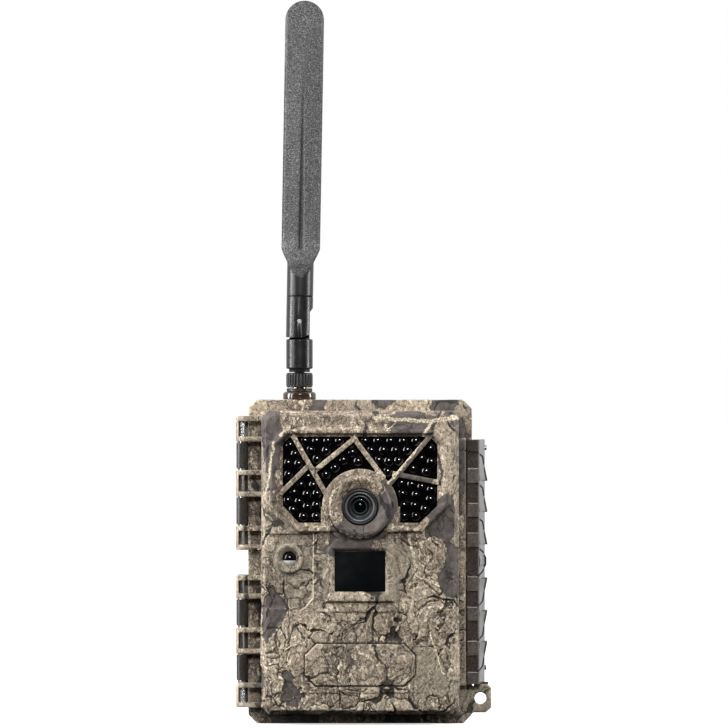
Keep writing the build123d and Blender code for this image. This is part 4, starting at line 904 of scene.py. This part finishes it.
def cells():
    """AA cells: crimped steel ends, a plain two-tone jacket and the raised positive button."""
    jacket_end = metal("cell_steel", (196, 197, 198), 0.26, tarnish=0.2)
    band = metal("cell_band", (166, 170, 172), 0.30, (1.0, 1.0, 0.1), tarnish=0.1)
    rings = [
        (0.0, 0.35), (5.6, 0.35), (5.9, 0.0), (6.7, 0.0), (7.05, 0.3), (7.25, 0.8), (7.25, 36.5), (7.25, 48.4),
        (7.05, 49.1), (6.6, 49.4), (5.2, 49.4), (5.0, 49.2), (3.2, 49.2), (2.75, 49.5), (2.7, 50.2), (2.4, 50.5),
        (0.0, 50.5),
    ]
    segments = 48
    row_material = [1] * 4 + [0] * 2 + [2] * 3 + [1] * 7
    solids = []
    found = islands(welded_mesh("aa_cells"))
    for shell in sorted(found, key=lambda s: (round(span(s, 2)[0], 2), span(s, 0)[0])):
        low, high = span(shell, 2)
        x, y = middle(shell, 0), middle(shell, 1)
        tip = [p for p in shell if p.z > high - 0.01 * MM]
        up = max(math.hypot(p.x - x, p.y - y) for p in tip) < 4 * MM
        turned = rings if up else [(r, (high - low) / MM - d) for r, d in rings]
        solids.append(lathe(turned, (x, y, low), "Z", segments))
    made = built("aa_cells_jacketed", solids, row_material * len(solids), segments)
    settle(made, "aa_cells", [MATERIALS["cell_jacket"], jacket_end, band], smooth=40)


def antenna_nut():
    """Coupling nut with upright grip ridges between two plain bands."""
    low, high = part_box("antenna_nut")
    centre = (low + high) / 2
    height = (high.z - low.z) / MM
    outer = (high.x - low.x) / 2 / MM
    ridges = 26

    def grip(angle, distance):
        if not 0.9 < distance < height - 0.9:
            return 0.0
        return -0.42 * (0.5 - 0.5 * math.cos(ridges * angle)) ** 1.5

    rings = [(3.3, 0.0), (outer - 0.7, 0.0), (outer - 0.15, 0.35), (outer - 0.15, 0.85)]
    rings += [(outer, 1.0 + (height - 2.0) * i / 6) for i in range(7)]
    rings += [(outer - 0.15, height - 0.85), (outer - 0.15, height - 0.35), (outer - 0.7, height),
              (2.35, height), (2.35, height - 1.0), (3.3, height - 1.0)]
    nut = built("antenna_nut_ridged", [lathe(rings, (centre.x, centre.y, low.z), "Z", ridges * 8, grip, True)])
    settle(nut, "antenna_nut", MATERIALS["antenna_nut"], smooth=50)


def antenna_paddle():
    """The paddle: a shield over its round shank, a crease and a groove that fade out upwards."""
    obj = remeshed("antenna_blade", "antenna_paddle", 0.40)
    mesh = modified(obj, "SMOOTH", factor=0.5, iterations=4).data
    co = np.empty(len(mesh.vertices) * 3)
    mesh.vertices.foreach_get("co", co)
    co = co.reshape(-1, 3)
    away = (co - np.array(PIVOT)) / MM
    lean = math.radians(PADDLE_LEAN)
    x = away[:, 0] * math.cos(lean) - away[:, 2] * math.sin(lean)
    z = away[:, 0] * math.sin(lean) + away[:, 2] * math.cos(lean) + PIVOT.z / MM
    y = away[:, 1]
    across = np.abs(x)
    outline = np.interp(z, [194.4, 195.2, 197.9, 200.6, 203.4, 206.0], [0.3, 2.9, 4.9, 6.0, 7.4, 8.45])
    shield = np.clip((outline - across) / 0.5, 0, 1) * (z > 194.4)
    flat = 4.0 + 2.2 * smooth_step(214.0, 200.0, z) * (1 - (across / 8.6) ** 2)
    flat -= 0.7 * smooth_step(200.0, 194.4, z)
    roof = 0.20 * across * smooth_step(203.0, 210.0, z) * smooth_step(306.0, 280.0, z)
    half = np.interp(z, [205.0, 212.0, 250.0, 286.0], [1.7, 1.4, 0.8, 0.45])
    deep = np.interp(z, [204.6, 206.2, 250.0, 290.0], [0.0, 1.5, 1.0, 0.0])
    groove = deep * np.clip(1.2 - across / half, 0, 1)
    rim = np.clip((outline - across) / 1.4, 0, 1)
    crown = np.sqrt(1 - (1 - rim) ** 2)
    front = (flat - roof - groove) * (0.45 + 0.55 * crown)
    face = np.clip((np.abs(y) - 1.2) / 0.8, 0, 1) * shield
    co[:, 1] += np.sign(y) * face * (front - np.abs(y)) * MM
    mesh.vertices.foreach_set("co", co.ravel())
    mark = mesh.attributes.new("shield", "FLOAT", "POINT")
    mark.data.foreach_set("value", np.clip(shield + (z > 206.0), 0, 1).astype(np.float32))
    # how much painted shade the groove gets, read by the blade's material
    painted_groove_shade = mesh.attributes.new("crease", "FLOAT", "POINT")
    painted_groove_shade.data.foreach_set("value", (groove / 1.6 * (z > 206.0) * face).astype(np.float32))
    mesh.update()
    settle(thinned(obj, 90000), "antenna_blade", MATERIALS["antenna_blade"])


def smooth_step(low, high, value):
    share = np.clip((value - low) / (high - low), 0, 1)
    return share * share * (3 - 2 * share)


# ---------------- everything that keeps its CAD outline
BEVELS = {   # width of the softened edges in millimetres, and the nodes that have it
    0.35: "hinge_barrels battery_tray jack_collar",
    0.25: "hinge_screws antenna_jack jack_nut pir_window pir_sensor control_panel mode_switch antenna_base",
    0.2: "latch_pin latch_pin_screws rear_screws light_sensor board_screws cover_screws lcd_screen",
    0.3: "tripod_insert modem_module lens_mount sd_card antenna_yoke antenna_radiator",
    0.1: "battery_contacts modem_board sensor_board image_sensor led_board main_board",
    0.15: (
        "sim_holder gasket ir_filter_frame antenna_fold_pin button_up button_down button_left "
        "button_right button_ok button_menu"),
    0.06: "led_panel",
    0.12: "board_chips usb_port card_slot",
    0.05: "ir_filter_glass",
}


LATCH_MIDDLE = 70.05         # height that the latch mirrors about, in millimetres
SCALES = ((117.7, 104.9), (104.2, 91.4), (89.5, 77.3))   # top and bottom of each upper scale
SCALE_X = 50.7               # where the scales begin
STRIP_X = (46.6, 51.1)       # the latch's front strip
STRIP_STEP = 0.5
PALE_BLOCKS = ((104.2, 110.6), (89.5, 95.5), (76.3, 82.7), (57.4, 63.8), (44.6, 50.6), (29.5, 35.9), (17.2, 22.4))


def on_latch(name, lines, half, material):
    """Narrow strips that follow (x, z) lines on the front and side of the latch lever."""
    lever = NODES["latch_lever"]
    tree = BVHTree.FromPolygons([v.co for v in lever.data.vertices], [p.vertices for p in lever.data.polygons])
    low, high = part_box("latch_lever")
    work = bmesh.new()
    for start, end in (pair for line in lines for pair in zip(line, line[1:])):
        run = (end[0] - start[0], end[1] - start[1])
        length = math.hypot(*run)
        side = (-run[1] / length * half, run[0] / length * half)
        count = max(2, int(length / STRIP_STEP))
        made = []
        for i in range(count + 1):
            x, z = (a + d * i / count for a, d in zip(start, run))
            corners = []
            for sign in (-1, 1):
                across, up = ((a + sign * d) * MM for a, d in zip((x, z), side))
                hit = tree.ray_cast(Vector((across, low.y - MM, up)), Vector((0, 1, 0)))[0]
                corners.append((across, hit.y if hit else high.y - 2 * MM, up))
            front, back = ([work.verts.new((x, y + shift * MM, z)) for x, y, z in corners] for shift in (-0.20, 0.60))
            made.append((front[0], front[1], back[1], back[0]))
        for one, two in zip(made, made[1:]):
            for k in range(4):
                work.faces.new((one[k], one[(k + 1) % 4], two[(k + 1) % 4], two[k]))
        work.faces.new(made[0])
        work.faces.new(made[-1][::-1])
    strips = finished(work, name)
    strips.data.materials.append(material)
    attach(strips, BODY_OF["latch_lever"])


def latch():
    """The latch lever: blocks in two tones, pale strips painted as highlights along their top edges, and dark rims on
    its scales.
    """
    obj = welded_copy("latch_lever", "latch_lever_finished")
    for face in obj.data.polygons:
        height = face.center.z / MM
        if face.normal.y < -0.9 and any(low < height < high for low, high in PALE_BLOCKS):
            face.material_index = 1
    paler = plastic("latch_paler", (69, 62, 56), 0.34, grain=1.3, depth=0.04, fleck=(102, 95, 88), specular=0.5)
    settle(obj, "latch_lever", [MATERIALS["latch_plastic"], paler], smooth=12)
    rims = []
    for top, bottom in SCALES:
        line = [(SCALE_X, top), (53.2, top - 2.2), (55.05, bottom + 0.2)]
        rims += [line, [(x, 2 * LATCH_MIDDLE - z) for x, z in line]]
    rims.append([(SCALE_X, 63.6), (53.4, 65.9), (54.7, 68.6), (54.7, 71.5), (53.4, 74.2), (SCALE_X, 76.5)])
    black = plastic("latch_rim_black", (14, 11, 9), 0.8, grain=2.0, depth=0.01, specular=0.2)
    on_latch("latch_scale_rims", rims, 0.32, black)
    # painted highlight: pale strips along the top edge of each pale block
    edge_highlight = plastic("latch_edge_highlight", (150, 144, 137), 0.45, grain=1.2, depth=0.02, fleck=(186, 181, 174))
    on_latch("latch_edge_highlight_strips", [[(x, top - 0.1) for x in STRIP_X] for _, top in PALE_BLOCKS], 0.19, edge_highlight)
    seams = [low for low, _ in PALE_BLOCKS[:-1]] + [SCALES[0][0]]
    on_latch("latch_seams", [[(x, z) for x in STRIP_X] for z in seams], 0.14, black)


def edged_parts():
    for width, nodes in BEVELS.items():
        for node in nodes.split():
            bevelled(node, node + "_finished", width, MATERIALS[SLOT_OF[node]])
    for node in ("battery_springs", "light_sensor_lens"):
        obj = welded_copy(node, node + "_finished")
        settle(obj, node, MATERIALS[SLOT_OF[node]], smooth=40)


PADDLE_LEAN = 1.0            # degrees towards +X at rest
PIVOT = middle_of("antenna_fold_pin")
BARK = bark_print()
MATERIALS = make_materials()
shells()
lens()
led_domes()
hinge_pins()
cells()
antenna_nut()
antenna_paddle()
edged_parts()
latch()


# ---------------- stage
def area_light(name, location, target, size, radiance, glossy=True):
    """A soft rectangular light that the camera doesn't see; radiance is how bright its face is."""
    data = bpy.data.lights.new(name, "AREA")
    data.shape = "RECTANGLE"
    data.size, data.size_y = size
    data.energy = radiance * math.pi * size[0] * size[1]
    lamp = link(bpy.data.objects.new(name, data))
    lamp.location = location
    lamp.rotation_euler = (Vector(target) - Vector(location)).to_track_quat("-Z", "Y").to_euler()
    lamp.visible_camera = False
    lamp.visible_glossy = glossy


def studio_world():
    """White for the camera; for other rays white behind the object and dark in front and below."""
    world = bpy.data.worlds.new("studio")
    bpy.context.scene.world = world
    world.use_nodes = True
    tree = Tree(world.node_tree)
    direction = tree.node("ShaderNodeTexCoord").outputs["Generated"]
    behind = tree.step(component(tree, direction, 1), -0.15, 0.35, 0.05, 1.0)
    above = tree.step(component(tree, direction, 2), -0.35, 0.10, 0.12, 1.0)
    light = tree.times(behind, above)
    seen = tree.node("ShaderNodeLightPath").outputs["Is Camera Ray"]
    background = world.node_tree.nodes["Background"]
    background.inputs[0].default_value = (1.0, 1.0, 1.0, 1.0)
    tree.feed(background.inputs[1], tree.larger(light, seen))


def stage():
    scene = bpy.context.scene
    scene.view_settings.view_transform = "Standard"
    low, high = CAD_BOX
    aim = Vector((1.7, -44.0, 155.7)) * MM
    distance = 3.2
    view_width = 313.0 * MM
    camera_data = bpy.data.cameras.new("camera")
    camera_data.lens = camera_data.sensor_width * distance / view_width
    camera_data.clip_end = 50.0
    camera = link(bpy.data.objects.new("camera", camera_data))
    camera.location = aim + Vector((0.0, -distance, 0.0))
    camera.rotation_euler = (math.radians(90), 0.0, 0.0)
    scene.camera = camera

    white, tree, shader = new_material("paper_white")
    tree.fill(shader, {
        "Base Color": (0.93, 0.93, 0.93, 1.0), "Roughness": 0.9, "Specular IOR Level": 0.0,
        "Emission Color": (1.0, 1.0, 1.0, 1.0), "Emission Strength": 0.6})
    bpy.ops.mesh.primitive_plane_add(size=30.0, location=(0, 0, low.z - 0.1 * MM))
    floor = bpy.context.object
    floor.name = "floor"
    floor.data.materials.append(white)
    floor.visible_diffuse = False
    floor.visible_glossy = False

    studio_world()
    area_light("key", (0.12, -2.1, 1.00), (0, 0, 0.10), (0.62, 0.34), 42.0)
    area_light("top_soft", (0.0, -0.75, 1.35), (0, 0, 0.10), (1.2, 0.5), 8.5, glossy=False)
    area_light("left_soft", (-0.98, -0.60, 0.58), (0, 0, 0.12), (0.24, 1.15), 10.5)
    area_light("left_strip", (-1.0, -0.14, 0.42), (0, 0, 0.14), (0.20, 0.8), 26.0)
    area_light("right_strip", (1.0, -0.12, 0.42), (0, 0, 0.14), (0.20, 0.8), 20.0)


stage()
